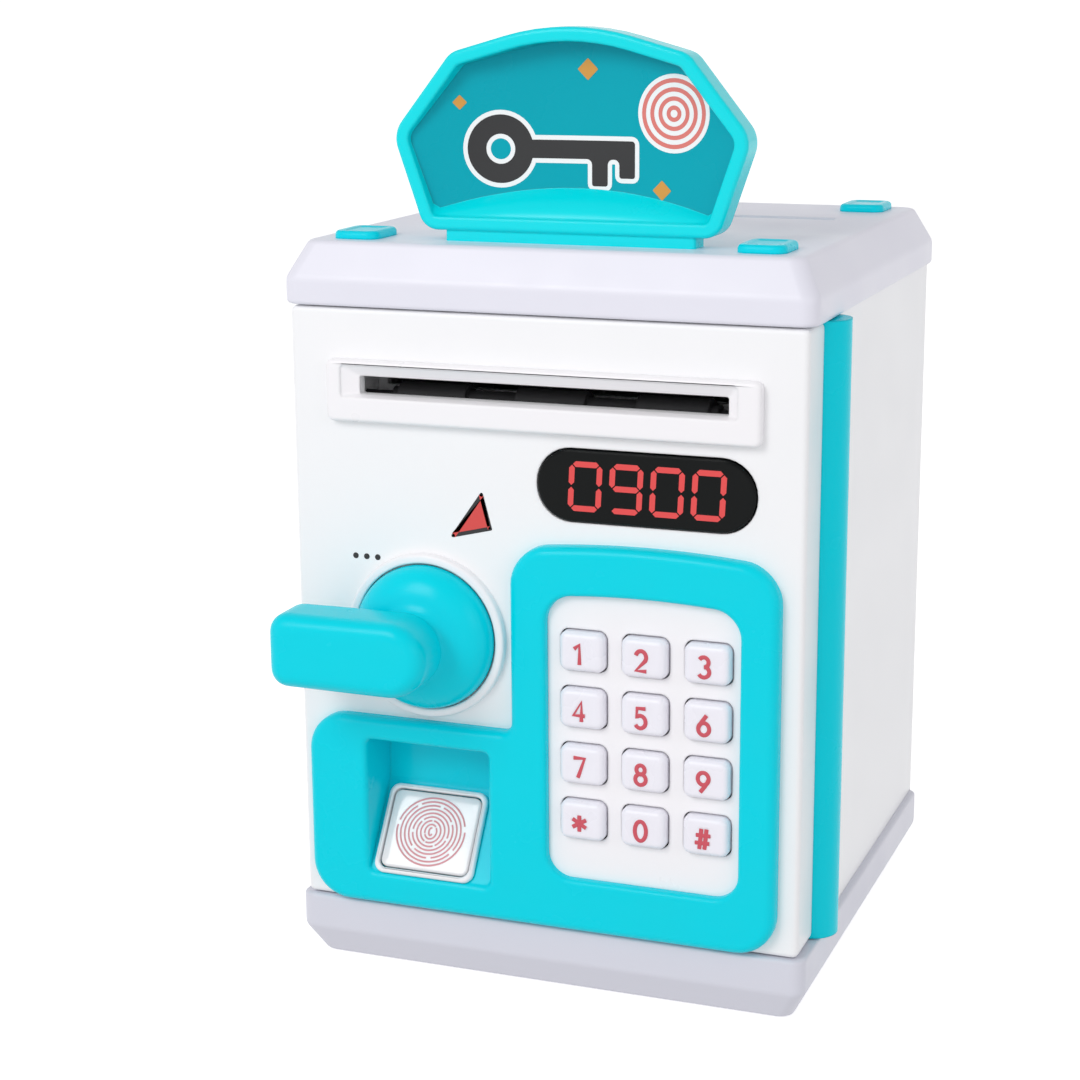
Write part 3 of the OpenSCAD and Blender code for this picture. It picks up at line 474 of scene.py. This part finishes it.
sections = [(inner, face_y + WALL), (inner, rear_y), (face, rear_y)] + round_over(face, 1.3, face_y, 1)
rings = loft(bm, rear, sections)
holes = [loft(bm, front, round_over(hole, -0.25, face_y, 1, 2)[::-1] + [(hole, face_y + WALL)])
         for hole in (slot_hole, glass_hole, key_hole, pocket_room)]
cap(bm, rings[-1], *[h[0] for h in holes])
cap(bm, rings[0], *[h[-1] for h in holes])
cradle = []
for radius, turns in ((barrel_r + 1.8, range(180, 271, 10)), (barrel_r + 0.05, range(270, 179, -10))):
    for a in turns:
        out = (math.cos(math.radians(a)), math.sin(math.radians(a)))
        cradle.append((hinge.x + radius * out[0], hinge.y + radius * out[1], *out))
walls = loft(bm, upright, [(cradle, door_low.z + 0.1), (cradle, door_high.z - 0.1)])
cap(bm, walls[0])
cap(bm, walls[1])
piece(bm, "door_front", "door", ["white"], "white_shell", "door_shell")

# Note slot's raised frame, with a hood that slopes in to the slot
bm = bmesh.new()
frame_out = rect(bezel_low.x, bezel_high.x, bezel_low.z, bezel_high.z, 1.8)
mouth = rect(-SLOT_HALF - 4.3, SLOT_HALF + 2.6, SLOT_LOW - 0.5, bezel_high.z - 1.4, 0.9)
rings = loft(bm, front, [(frame_out, face_y)] + round_over(frame_out, 1.1, bezel_low.y, 1))
hood = loft(bm, front, round_over(mouth, -0.5, bezel_low.y, 1)[::-1]
            + [(slot_hole, face_y - 0.5), (slot_hole, face_y)])
cap(bm, rings[-1], hood[0])
cap(bm, rings[0], hood[-1])
piece(bm, "note_slot_frame", "door", ["trim"], "white_trim", "slot_bezel")

# ---- Turquoise fascia with the window of the keypad and the pocket of the fingerprint button ----
SEAT_ANGLE = math.radians(55.8)
SEAT_Y = face_y - 3.4
SEAT_X = -31.6
SEAT_MID = 11.85
SEAT_DROP = 0.3
PRINT_FRAME = (27.2, 23.6, 1.4)
PRINT_BUTTON = (24.0, 20.4)
STEM = 0.6


def on_seat(u, v, depth):
    """Outline across and up the pocket's sloping seat, depth out of it."""
    return Vector((SEAT_X + u, SEAT_Y + v * math.cos(SEAT_ANGLE) - depth * math.sin(SEAT_ANGLE),
                   POCKET[2] + v * math.sin(SEAT_ANGLE) + depth * math.cos(SEAT_ANGLE)))


def seat_rect(w, h, radius):
    """Rectangle about the middle of the seat."""
    return rect(-w / 2, w / 2, SEAT_MID - h / 2, SEAT_MID + h / 2, radius)


bm = bmesh.new()
body = outline([(fascia_low.x, fascia_low.z, 10), (fascia_high.x, fascia_low.z, 10),
                (fascia_high.x, TALL_TOP, 9), (TALL_X, TALL_TOP, 9), (TALL_X, LOW_TOP, 2.5),
                (fascia_low.x, LOW_TOP, 10)], 10, 3)
body = [p if p[0] < TALL_X - 0.01 else arched([p, (TALL_X, 0, 0, 0), (fascia_high.x, 0, 0, 0)],
        TALL_TOP - 9, TALL_TOP, TALL_ARCH)[0] for p in body]
window = rect(plate_low.x + 0.1, plate_high.x - 0.1, plate_low.z + 0.1, plate_high.z - 1.4, 6.5, 10, 3)
window = arched(window, plate_high.z - 10, plate_high.z - 1.4, 1.3)
rings = loft(bm, front, [(body, face_y)] + round_over(body, 2.3, FASCIA_FRONT, 1, 7))
opening = loft(bm, front, round_over(window, -1.2, FASCIA_FRONT, 1)[::-1] + [(window, face_y)])
well = loft(bm, front, round_over(pocket_hole, -1.6, FASCIA_FRONT, 1)[::-1] + [(pocket_hole, POCKET_BACK)])
cap(bm, rings[-1], opening[0], well[0])
cap(bm, well[-1])
bed = rect(POCKET[0] - SEAT_X - 0.5, POCKET[1] - SEAT_X + 0.5,
           -0.8, (POCKET_BACK - SEAT_Y) / math.cos(SEAT_ANGLE), 0.3)
button_room = seat_rect(PRINT_BUTTON[0] + 0.7, PRINT_BUTTON[1] + 0.7, 2.2)
sloping = loft(bm, on_seat, [(bed, -SEAT_DROP)])
room = loft(bm, on_seat, [(button_room, -SEAT_DROP), (button_room, -STEM - 1.4)])
cap(bm, sloping[0], room[0])
cap(bm, room[1])
piece(bm, "fascia_front", "door", ["turquoise"], "turquoise_plastic", "fascia")

# ---- Display: smoked window with lit seven-segment figures ----
bm = bmesh.new()
glass_r = (glass_high.z - glass_low.z) / 2 - 0.01
glass = rect(glass_low.x, glass_high.x, glass_low.z, glass_high.z, glass_r, 24)
rings = loft(bm, front, [(glass, glass_high.y)] + round_over(glass, 0.5, glass_low.y, 1))
cap(bm, rings[-1])
cap(bm, rings[0])
FIGURE = (8.4, 12.2)
FIGURE_PITCH = 10.25
BAR = 1.4
SLANT = 0.05
BARS = {"0": "abcdef", "9": "abcdfg"}


def bar_spots(name, w, h):
    """Mitred outline of one bar of a seven-segment figure, about the figure's middle."""
    half = BAR / 2
    gap = 0.22
    x, z = w / 2 - half, h / 2 - half
    ends = {"a": ((-x, z), (x, z)), "b": ((x, z), (x, 0)), "c": ((x, 0), (x, -z)), "d": ((-x, -z), (x, -z)),
            "e": ((-x, 0), (-x, -z)), "f": ((-x, z), (-x, 0)), "g": ((-x, 0), (x, 0))}[name]
    a, b = Vector(ends[0]), Vector(ends[1])
    along = (b - a).normalized()
    across = Vector((-along.y, along.x)) * half
    a, b = a + along * gap, b - along * gap
    return [a, a + along * half + across, b - along * half + across, b,
            b - along * half - across, a + along * half - across]


figure_mid = Vector(((glass_low.x + glass_high.x) / 2 + 0.4, (glass_low.z + glass_high.z) / 2))
for index, figure in enumerate("0900"):
    middle = figure_mid + Vector(((index - 1.5) * FIGURE_PITCH, 0))
    for name in BARS[figure]:
        spots = [middle + Vector((p.x + SLANT * p.y, p.y)) for p in bar_spots(name, *FIGURE)]
        lit = [(p.x, p.y, 0, 0) for p in spots]
        rings = loft(bm, front, [(lit, glass_low.y + 0.05), (lit, glass_low.y - 0.06)], 1)
        bm.faces.new(rings[1]).material_index = 1
piece(bm, "display", "door", ["black", "led"], "display_black", "display_window")

# ---- Keys ----
KEY_NAMES = ["1", "2", "3", "4", "5", "6", "7", "8", "9", "star", "0", "hash"]
LEGEND_H = 5.0
LEGEND_W = 3.1
LEGEND_STROKE = 1.05
SIGN_SIZE = 1.3
LIP = 0.6


def sweep(cx, cz, rx, rz, start, end, steps=14):
    """Points along part of an ellipse, in degrees."""
    turns = [math.radians(start + (end - start) * k / steps) for k in range(steps + 1)]
    return [(cx + rx * math.cos(a), cz + rz * math.sin(a)) for a in turns]


LOOP = sweep(0.5, 0.5, 0.46, 0.5, 0, 360, 28)
SIX = [sweep(0.5, 0.31, 0.44, 0.31, 0, 360, 24), [(0.72, 1.0), (0.4, 0.72), (0.14, 0.46), (0.07, 0.34)]]
LEGENDS = {
    "0": [LOOP],
    "1": [[(0.12, 0.78), (0.55, 1.0), (0.55, 0.0)]],
    "2": [sweep(0.5, 0.69, 0.42, 0.31, 165, -35) + [(0.08, 0.0), (0.95, 0.0)]],
    "3": [sweep(0.46, 0.75, 0.38, 0.25, 150, -85), sweep(0.46, 0.27, 0.44, 0.27, 85, -150)],
    "4": [[(0.7, 0.0), (0.7, 1.0), (0.04, 0.3), (0.98, 0.3)]],
    "5": [[(0.88, 1.0), (0.2, 1.0), (0.14, 0.56)] + sweep(0.46, 0.32, 0.44, 0.32, 125, -150)],
    "6": SIX,
    "7": [[(0.04, 1.0), (0.95, 1.0), (0.4, 0.0)]],
    "8": [sweep(0.5, 0.77, 0.34, 0.23, 0, 360, 24), sweep(0.5, 0.28, 0.43, 0.28, 0, 360, 24)],
    "9": [[(1 - u, 1 - v) for u, v in path] for path in SIX],
    "star": [[(0.5 - 0.5 * math.cos(a), 0.5 - 0.32 * math.sin(a)),
              (0.5 + 0.5 * math.cos(a), 0.5 + 0.32 * math.sin(a))]
             for a in (math.radians(30), math.radians(90), math.radians(150))],
    "hash": [[(0.3, 0.1), (0.42, 0.9)], [(0.62, 0.1), (0.74, 0.9)], [(0.08, 0.64), (0.98, 0.64)],
             [(0.02, 0.34), (0.92, 0.34)]],
}


def key_ring(low, high, amount, radius):
    """A key's outline, a given amount inside its shoulder."""
    edge = LIP + amount
    return rect(low.x + edge, high.x - edge, low.z + edge, high.z - edge, radius)


for name in KEY_NAMES:
    key_low, key_high = corners("key_" + name)
    key = (key_low, key_high)
    bm = bmesh.new()
    top_y = key_low.y
    run = [(key_ring(*key, 0, 2), face_y + 0.4)] + round_over(key_ring(*key, 0.1, 1.9), 1.5, top_y, 1, 6)
    run += [(key_ring(*key, 2.3, 0.3), top_y + 0.03), (key_ring(*key, 3.4, 0.3), top_y + 0.08)]
    rings = loft(bm, front, run)
    cap(bm, rings[-1])
    cap(bm, rings[0])
    middle = ((key_low.x + key_high.x) / 2 - 0.5, (key_low.z + key_high.z) / 2 - 0.5)
    size = 1 if name.isdigit() else SIGN_SIZE
    paths = [[(middle[0] + (u - 0.5) * LEGEND_W * size, middle[1] + (v - 0.5) * LEGEND_H * size)
              for u, v in path] for path in LEGENDS[name]]
    strokes(bm, paths, LEGEND_STROKE, front, top_y + 0.03, 0.3)
    piece(bm, "keycap_" + name, "key_" + name, ["key", "legend"], "key_caps", "key_" + name)

# ---- Fingerprint button and its frame, on the sloping seat ----
bm = bmesh.new()
outer = seat_rect(PRINT_FRAME[0], PRINT_FRAME[1], 2.8)
rings = loft(bm, on_seat, [(outer, 0)] + round_over(outer, 0.8, PRINT_FRAME[2], -1))
inside = loft(bm, on_seat, round_over(button_room, -0.5, PRINT_FRAME[2], -1)[::-1]
              + [(button_room, -SEAT_DROP)])
cap(bm, rings[-1], inside[0])
piece(bm, "print_frame", "door", ["trim"], "white_trim", "fingerprint_frame")

bm = bmesh.new()
shape = seat_rect(*PRINT_BUTTON, 2)
PAD_TOP = PRINT_FRAME[2] - 0.3
run = [(shape, -STEM)] + round_over(shape, 0.6, PAD_TOP - 0.15, -1) + [(inset(shape, 1.95), PAD_TOP)]
rings = loft(bm, on_seat, run)
cap(bm, rings[-1])
cap(bm, rings[0])
ridges = [sweep(0, SEAT_MID, 0.5, 1.0, 60, 330, 12)]
for k in range(1, 9):
    rx, rz = 0.5 + 1.1 * k, 0.9 + 0.99 * k
    turn = 47 * k
    ridges.append(sweep(0, SEAT_MID, rx, rz, turn, turn + 150, 24))
    ridges.append(sweep(0, SEAT_MID, rx, rz, turn + 158, turn + 350, 30))
strokes(bm, ridges, 0.46, on_seat, PAD_TOP, 0.12)
piece(bm, "print_button", "fingerprint_button", ["pad", "ridge"], "print_pad", "fingerprint_button")

# ---- Knob collar and knob ----
collar_low, collar_high = corners("knob_collar")
knob_low, knob_high = corners("door_knob")
axis = Vector(((collar_low.x + collar_high.x) / 2, (collar_low.z + collar_high.z) / 2))
collar_r = (collar_high.x - collar_low.x) / 2
knob_r = (knob_high.z - knob_low.z) / 2
bm = bmesh.new()
ring_out, ring_in = circle(*axis, collar_r), circle(*axis, knob_r + 0.3)
run = [(ring_out, face_y)] + round_over(ring_out, 0.9, collar_low.y, 1)
run += round_over(ring_in, -0.5, collar_low.y, 1)[::-1] + [(ring_in, face_y)]
loft(bm, front, run)
piece(bm, "collar", "door", ["trim"], "white_trim", "knob_collar")


def dome_section(radius, height):
    """Ring round the knob's axis at a height above the door's face."""
    return circle(*axis, radius), knob_high.y - height


bm = bmesh.new()
DOME_H = 9
HUB_R = 9.4
LEVER_BACK = face_y - 12
LEVER_H = 18.6
lever_y = knob_low.y + 0.02
lever_x = knob_low.x
dome = [dome_section(knob_r - 0.4, 0), dome_section(knob_r, 0.8)]
dome += [dome_section(HUB_R - 1 + (knob_r - HUB_R + 1) * math.cos(math.radians(a)),
                      1.6 + (DOME_H - 1.6) * math.sin(math.radians(a))) for a in range(0, 90, 9)]
dome += [dome_section(HUB_R - 1.6, DOME_H + 1.2), dome_section(HUB_R - 2, DOME_H + 4),
         dome_section(HUB_R - 1.4, DOME_H + 7)]
rings = loft(bm, front, dome)
cap(bm, rings[0])
cap(bm, rings[-1])
hub_r = LEVER_H / 2 + 0.2
grip = outline([(lever_x, axis.y - LEVER_H / 2, 4.6), (axis.x + hub_r, axis.y - hub_r, hub_r - 0.02),
                (axis.x + hub_r, axis.y + hub_r, hub_r - 0.02), (lever_x, axis.y + LEVER_H / 2, 4.6)], 16, 2)
rings = loft(bm, front, round_over(grip, 2.2, LEVER_BACK, -1)[::-1] + round_over(grip, 3.6, lever_y, 1, 7))
cap(bm, rings[0])
cap(bm, rings[-1])
rough = piece(bm, "knob_rough", "knob", ["turquoise"], "turquoise_plastic")
rough.modifiers.clear()
melt = rough.modifiers.new("melt", "REMESH")
melt.mode = "VOXEL"
melt.voxel_size = 0.55 * MM
ease = rough.modifiers.new("ease", "SMOOTH")
ease.factor = 0.5
ease.iterations = 14
bpy.context.view_layer.update()
melted = bpy.data.meshes.new_from_object(rough.evaluated_get(bpy.context.evaluated_depsgraph_get()))
bpy.data.objects.remove(rough)
bm = bmesh.new()
bm.from_mesh(melted)
bmesh.ops.scale(bm, vec=(1 / MM, 1 / MM, 1 / MM), verts=bm.verts)
piece(bm, "knob_lever", "knob", ["turquoise"], "turquoise_plastic", "door_knob", sharp=80)

# ---- Header sign: a tray with a hollowed floor and a plain picture of a key and a coin ----
sign_low, sign_high = corners("header_sign")
sign_x = (sign_low.x + sign_high.x) / 2
top_z = lid_high.z
SIGN_RIM = 3.4
FLOOR_EDGE = 2
FLOOR_RISE = 5
sign_half = (sign_high.x - sign_low.x) / 2
sign_h = sign_high.z - top_z
SIGN_CORNERS = [(-0.848, 0.05, 5), (0.848, 0.05, 5), (1.028, 0.502, 7), (0.677, 0.882, 6), (0, 1.0448, 60),
                (-0.677, 0.882, 6), (-1.028, 0.502, 7)]
tray = outline([(sign_x + u * sign_half, top_z + v * sign_h, r) for u, v, r in SIGN_CORNERS], 8, 3)
bm = bmesh.new()
rim = inset(tray, SIGN_RIM)
run = round_over(tray, 0.8, sign_high.y, -1)[::-1] + round_over(tray, 1.1, sign_low.y, 1)
rings = loft(bm, front, run)
pan = loft(bm, front, round_over(rim, -0.7, sign_low.y, 1)[::-1] + [(rim, sign_high.y - 1.2)])
cap(bm, rings[-1], pan[0])
cap(bm, rings[0])
foot_half = 31.75
foot = rect(sign_x - foot_half, sign_x + foot_half, sign_low.y + 0.8, sign_high.y - 0.8, 0.8)
loft(bm, upright, [(foot, top_z), (foot, top_z + 6)])


def floor_y(u):
    """Depth of the tray's hollowed floor."""
    return sign_low.y + FLOOR_EDGE + FLOOR_RISE * (1 - ((u - sign_x) / (sign_half - SIGN_RIM)) ** 2)


wide = inset(tray, SIGN_RIM - 0.5)
spots_u = [sign_x + (sign_half - SIGN_RIM + 0.3) * k / 24 for k in range(-24, 25)]


def reach(u):
    """Lowest and highest points of the tray's floor at a place across."""
    found = []
    for (u0, v0, _, _), (u1, v1, _, _) in zip(wide, wide[1:] + wide[:1]):
        if (u0 - u) * (u1 - u) <= 0 and abs(u1 - u0) > 1e-9:
            found.append(v0 + (v1 - v0) * (u - u0) / (u1 - u0))
    return min(found), max(found)


columns = []
for u in spots_u:
    low_v, high_v = reach(u)
    columns.append([bm.verts.new((u, floor_y(u), low_v + (high_v - low_v) * k / 6)) for k in range(7)])
for a, b in zip(columns, columns[1:]):
    for k in range(6):
        bm.faces.new((a[k], b[k], b[k + 1], a[k + 1])).material_index = 1
LEDGE_H = 7.5
ledge = []
for u in spots_u:
    low_v = reach(u)[0] - 0.3
    rise = LEDGE_H * (1 - ((u - sign_x) / (sign_half - SIGN_RIM)) ** 2) + 0.3
    ledge.append([bm.verts.new((u, sign_low.y + 0.5 + (floor_y(u) - 0.1 - sign_low.y - 0.5) * (k / 5) ** 1.6,
                                low_v + rise * k / 5)) for k in range(6)])
for a, b in zip(ledge, ledge[1:]):
    for k in range(5):
        bm.faces.new((a[k], b[k], b[k + 1], a[k + 1]))
# The tray's rim carries painted light and its hollowed floor painted shade, both on the one turquoise.
piece(bm, "header_tray", "case", ["rim", "sign"], "sign_plastic", "header_sign")


def on_sign(u, v, depth):
    """Place on the sign's hollowed floor; depth is towards the front."""
    return Vector((sign_x + u, floor_y(sign_x + u) - depth, top_z + v))


def printed(bm, points, holes, depth, material):
    """Flat printed shape laid on the sign's floor."""
    rings = [loft(bm, upright, [(p, 0)])[0] for p in [points, *holes]]
    before = set(bm.faces)
    cap(bm, *rings, material=material)
    faces = [f for f in bm.faces if f not in before]
    verts = {v for f in faces for v in f.verts}
    edges = {e for f in faces for e in f.edges}
    us = [v.co.x for v in verts]
    cut = math.ceil(min(us) / 2) * 2
    while cut < max(us):
        made = bmesh.ops.bisect_plane(bm, geom=list(verts) + list(edges) + faces, plane_co=(cut, 0, 0),
                                      plane_no=(1, 0, 0))
        faces = [g for g in made["geom"] if isinstance(g, bmesh.types.BMFace)]
        verts = {v for f in faces for v in f.verts}
        edges = {e for f in faces for e in f.edges}
        cut += 2
    for vert in {v for f in faces for v in f.verts}:
        vert.co = on_sign(vert.co.x, vert.co.y, depth)


bm = bmesh.new()
KEY_Z = 22
bow, bow_hole = circle(-19, KEY_Z, 8.2, 48), circle(-19, KEY_Z, 3.6, 40)
blade = [(-12.5, -2.1, 0.3), (4, -2.1, 1.3), (4, -8.5, 0.6), (8, -8.5, 0.6), (8, -2.1, 1.3),
         (11, -2.1, 1.3), (11, -6.5, 0.6), (15, -6.5, 0.6), (15, 2.3, 0.8), (-12.5, 2.3, 0.3)]
blade = outline([(u, KEY_Z + v, r) for u, v, r in blade], 4)
printed(bm, inset(bow, -1.1), [inset(bow_hole, 1.1)], 0.03, 0)
printed(bm, inset(blade, -1.1), [], 0.05, 0)
printed(bm, bow, [bow_hole], 0.08, 1)
printed(bm, blade, [], 0.1, 1)
printed(bm, circle(25, 31, 9.2, 56), [], 0.05, 0)
for k, radius in enumerate((8.2, 6.1, 4.0, 1.9)):
    printed(bm, circle(25, 31, radius, 48), [circle(25, 31, radius - 1.0, 48)], 0.08, 2)
for u, v, size in ((3, 41, 2.6), (-6, 9.5, 2.2), (-29, 33, 1.8), (22, 13, 2.4)):
    star = outline([(u - size, v, 0.2), (u, v - size, 0.2), (u + size, v, 0.2), (u, v + size, 0.2)], 3)
    printed(bm, star, [], 0.08, 3)
piece(bm, "sign_picture", "case", ["print_white", "black_print_and_hole_shade", "print_pink", "print_orange"],
      "sign_plastic")

# ---- Small marks on the door: three black dots painted as the shade of small holes, and a printed warning triangle ----
bm = bmesh.new()
MARK_Y = face_y - 0.06
# The three black dots are painted shade standing in for three small holes; the black material also serves as
# real black print.
for k in range(3):
    hole_shade_dot = circle(-49.5 + 3 * k, 109, 0.75, 24)
    rings = loft(bm, front, [(hole_shade_dot, MARK_Y + 0.1), (hole_shade_dot, MARK_Y)])
    cap(bm, rings[1])
edge = outline([(-15.2, 128, 0.4), (-24, 115.5, 0.4), (-12.6, 118.3, 0.4)], 3)
rings = loft(bm, front, [(edge, MARK_Y + 0.1), (edge, MARK_Y), (inset(edge, 1.0), MARK_Y)])
rings += loft(bm, front, [(inset(edge, 1.0), MARK_Y - 0.01), (inset(edge, 1.1), MARK_Y - 0.02)], 1)
cap(bm, rings[-1], material=1)
piece(bm, "door_marks", "door", ["black_print_and_hole_shade", "print_red"], "display_black")

# ---- Camera ----
CAMERA_YAW = math.radians(20.87)
CAMERA_PITCH = math.radians(13.687)
CAMERA_ROLL = math.radians(-0.421)
CAMERA_PLACE = Vector((0.1950, -0.5770, 0.2503))
CAMERA_LENS = 77.67

camera = bpy.data.objects.new("camera", bpy.data.cameras.new("camera"))
bpy.context.scene.collection.objects.link(camera)
camera.data.lens = CAMERA_LENS
camera.data.sensor_width = 36
camera.data.clip_start = 0.01
camera.location = CAMERA_PLACE
forward = Vector((-math.sin(CAMERA_YAW) * math.cos(CAMERA_PITCH),
                  math.cos(CAMERA_YAW) * math.cos(CAMERA_PITCH), -math.sin(CAMERA_PITCH)))
level = Vector((math.cos(CAMERA_YAW), math.sin(CAMERA_YAW), 0))
above = level.cross(forward)
right = level * math.cos(CAMERA_ROLL) + above * math.sin(CAMERA_ROLL)
up = right.cross(forward)
camera.rotation_mode = "QUATERNION"
camera.rotation_quaternion = Matrix((right, up, -forward)).transposed().to_quaternion()
bpy.context.scene.camera = camera

# ---- Floor, studio light ----
WORLD_LIGHT = 0.96
KEY_LIGHT = 3.9
FILL_LIGHT = 0.6
SKY = ((0.1, 0.6), (0.46, 0.85), (0.56, 1.05), (0.95, 0.46))
FLOOR_SIZE = 60
FLOOR_GLOW = 0.5
floor_mesh = bpy.data.meshes.new("floor")
floor_bm = bmesh.new()
bmesh.ops.create_grid(floor_bm, x_segments=8, y_segments=8, size=FLOOR_SIZE)
floor_bm.to_mesh(floor_mesh)
floor_bm.free()
floor = bpy.data.objects.new("floor", floor_mesh)
floor.location.z = -0.0002
bpy.context.scene.collection.objects.link(floor)
floor.data.materials.append(surface("floor_paper", lin(250, 250, 250), rough=0.9, tone=0.004,
                                    wear=0.0, glow=FLOOR_GLOW))
floor.visible_diffuse = False

world = bpy.data.worlds.new("studio")
world.use_nodes = True
sky = world.node_tree
way = sky.nodes.new("ShaderNodeTexCoord")
parts = sky.nodes.new("ShaderNodeSeparateXYZ")
level_up = sky.nodes.new("ShaderNodeMapRange")
level_up.inputs["From Min"].default_value = -1
ramp = sky.nodes.new("ShaderNodeValToRGB")
stops = ramp.color_ramp.elements
for stop, (place, grey) in zip([stops[0], stops.new(0.5), stops.new(0.58), stops[-1]], SKY):
    stop.position = place
    stop.color = (grey, grey, grey * 1.02, 1)
sky.links.new(way.outputs["Generated"], parts.inputs["Vector"])
sky.links.new(parts.outputs["Z"], level_up.inputs["Value"])
sky.links.new(level_up.outputs["Result"], ramp.inputs["Fac"])
sky.links.new(ramp.outputs["Color"], sky.nodes["Background"].inputs["Color"])
sky.nodes["Background"].inputs["Strength"].default_value = WORLD_LIGHT
bpy.context.scene.world = world


def softbox(name, place, aim, size, power):
    """Square area light at a place, facing a point."""
    lamp = bpy.data.objects.new(name, bpy.data.lights.new(name, "AREA"))
    lamp.data.size = size
    lamp.data.energy = power
    lamp.location = place
    lamp.rotation_mode = "QUATERNION"
    lamp.rotation_quaternion = (Vector(aim) - Vector(place)).to_track_quat("-Z", "Y")
    bpy.context.scene.collection.objects.link(lamp)
    return lamp


MIDDLE = (0, 0, 0.1)
softbox("key_light", (-0.35, -0.9, 0.75), MIDDLE, 0.45, KEY_LIGHT)
softbox("fill_light", (0.9, -0.6, 0.5), MIDDLE, 0.5, FILL_LIGHT)
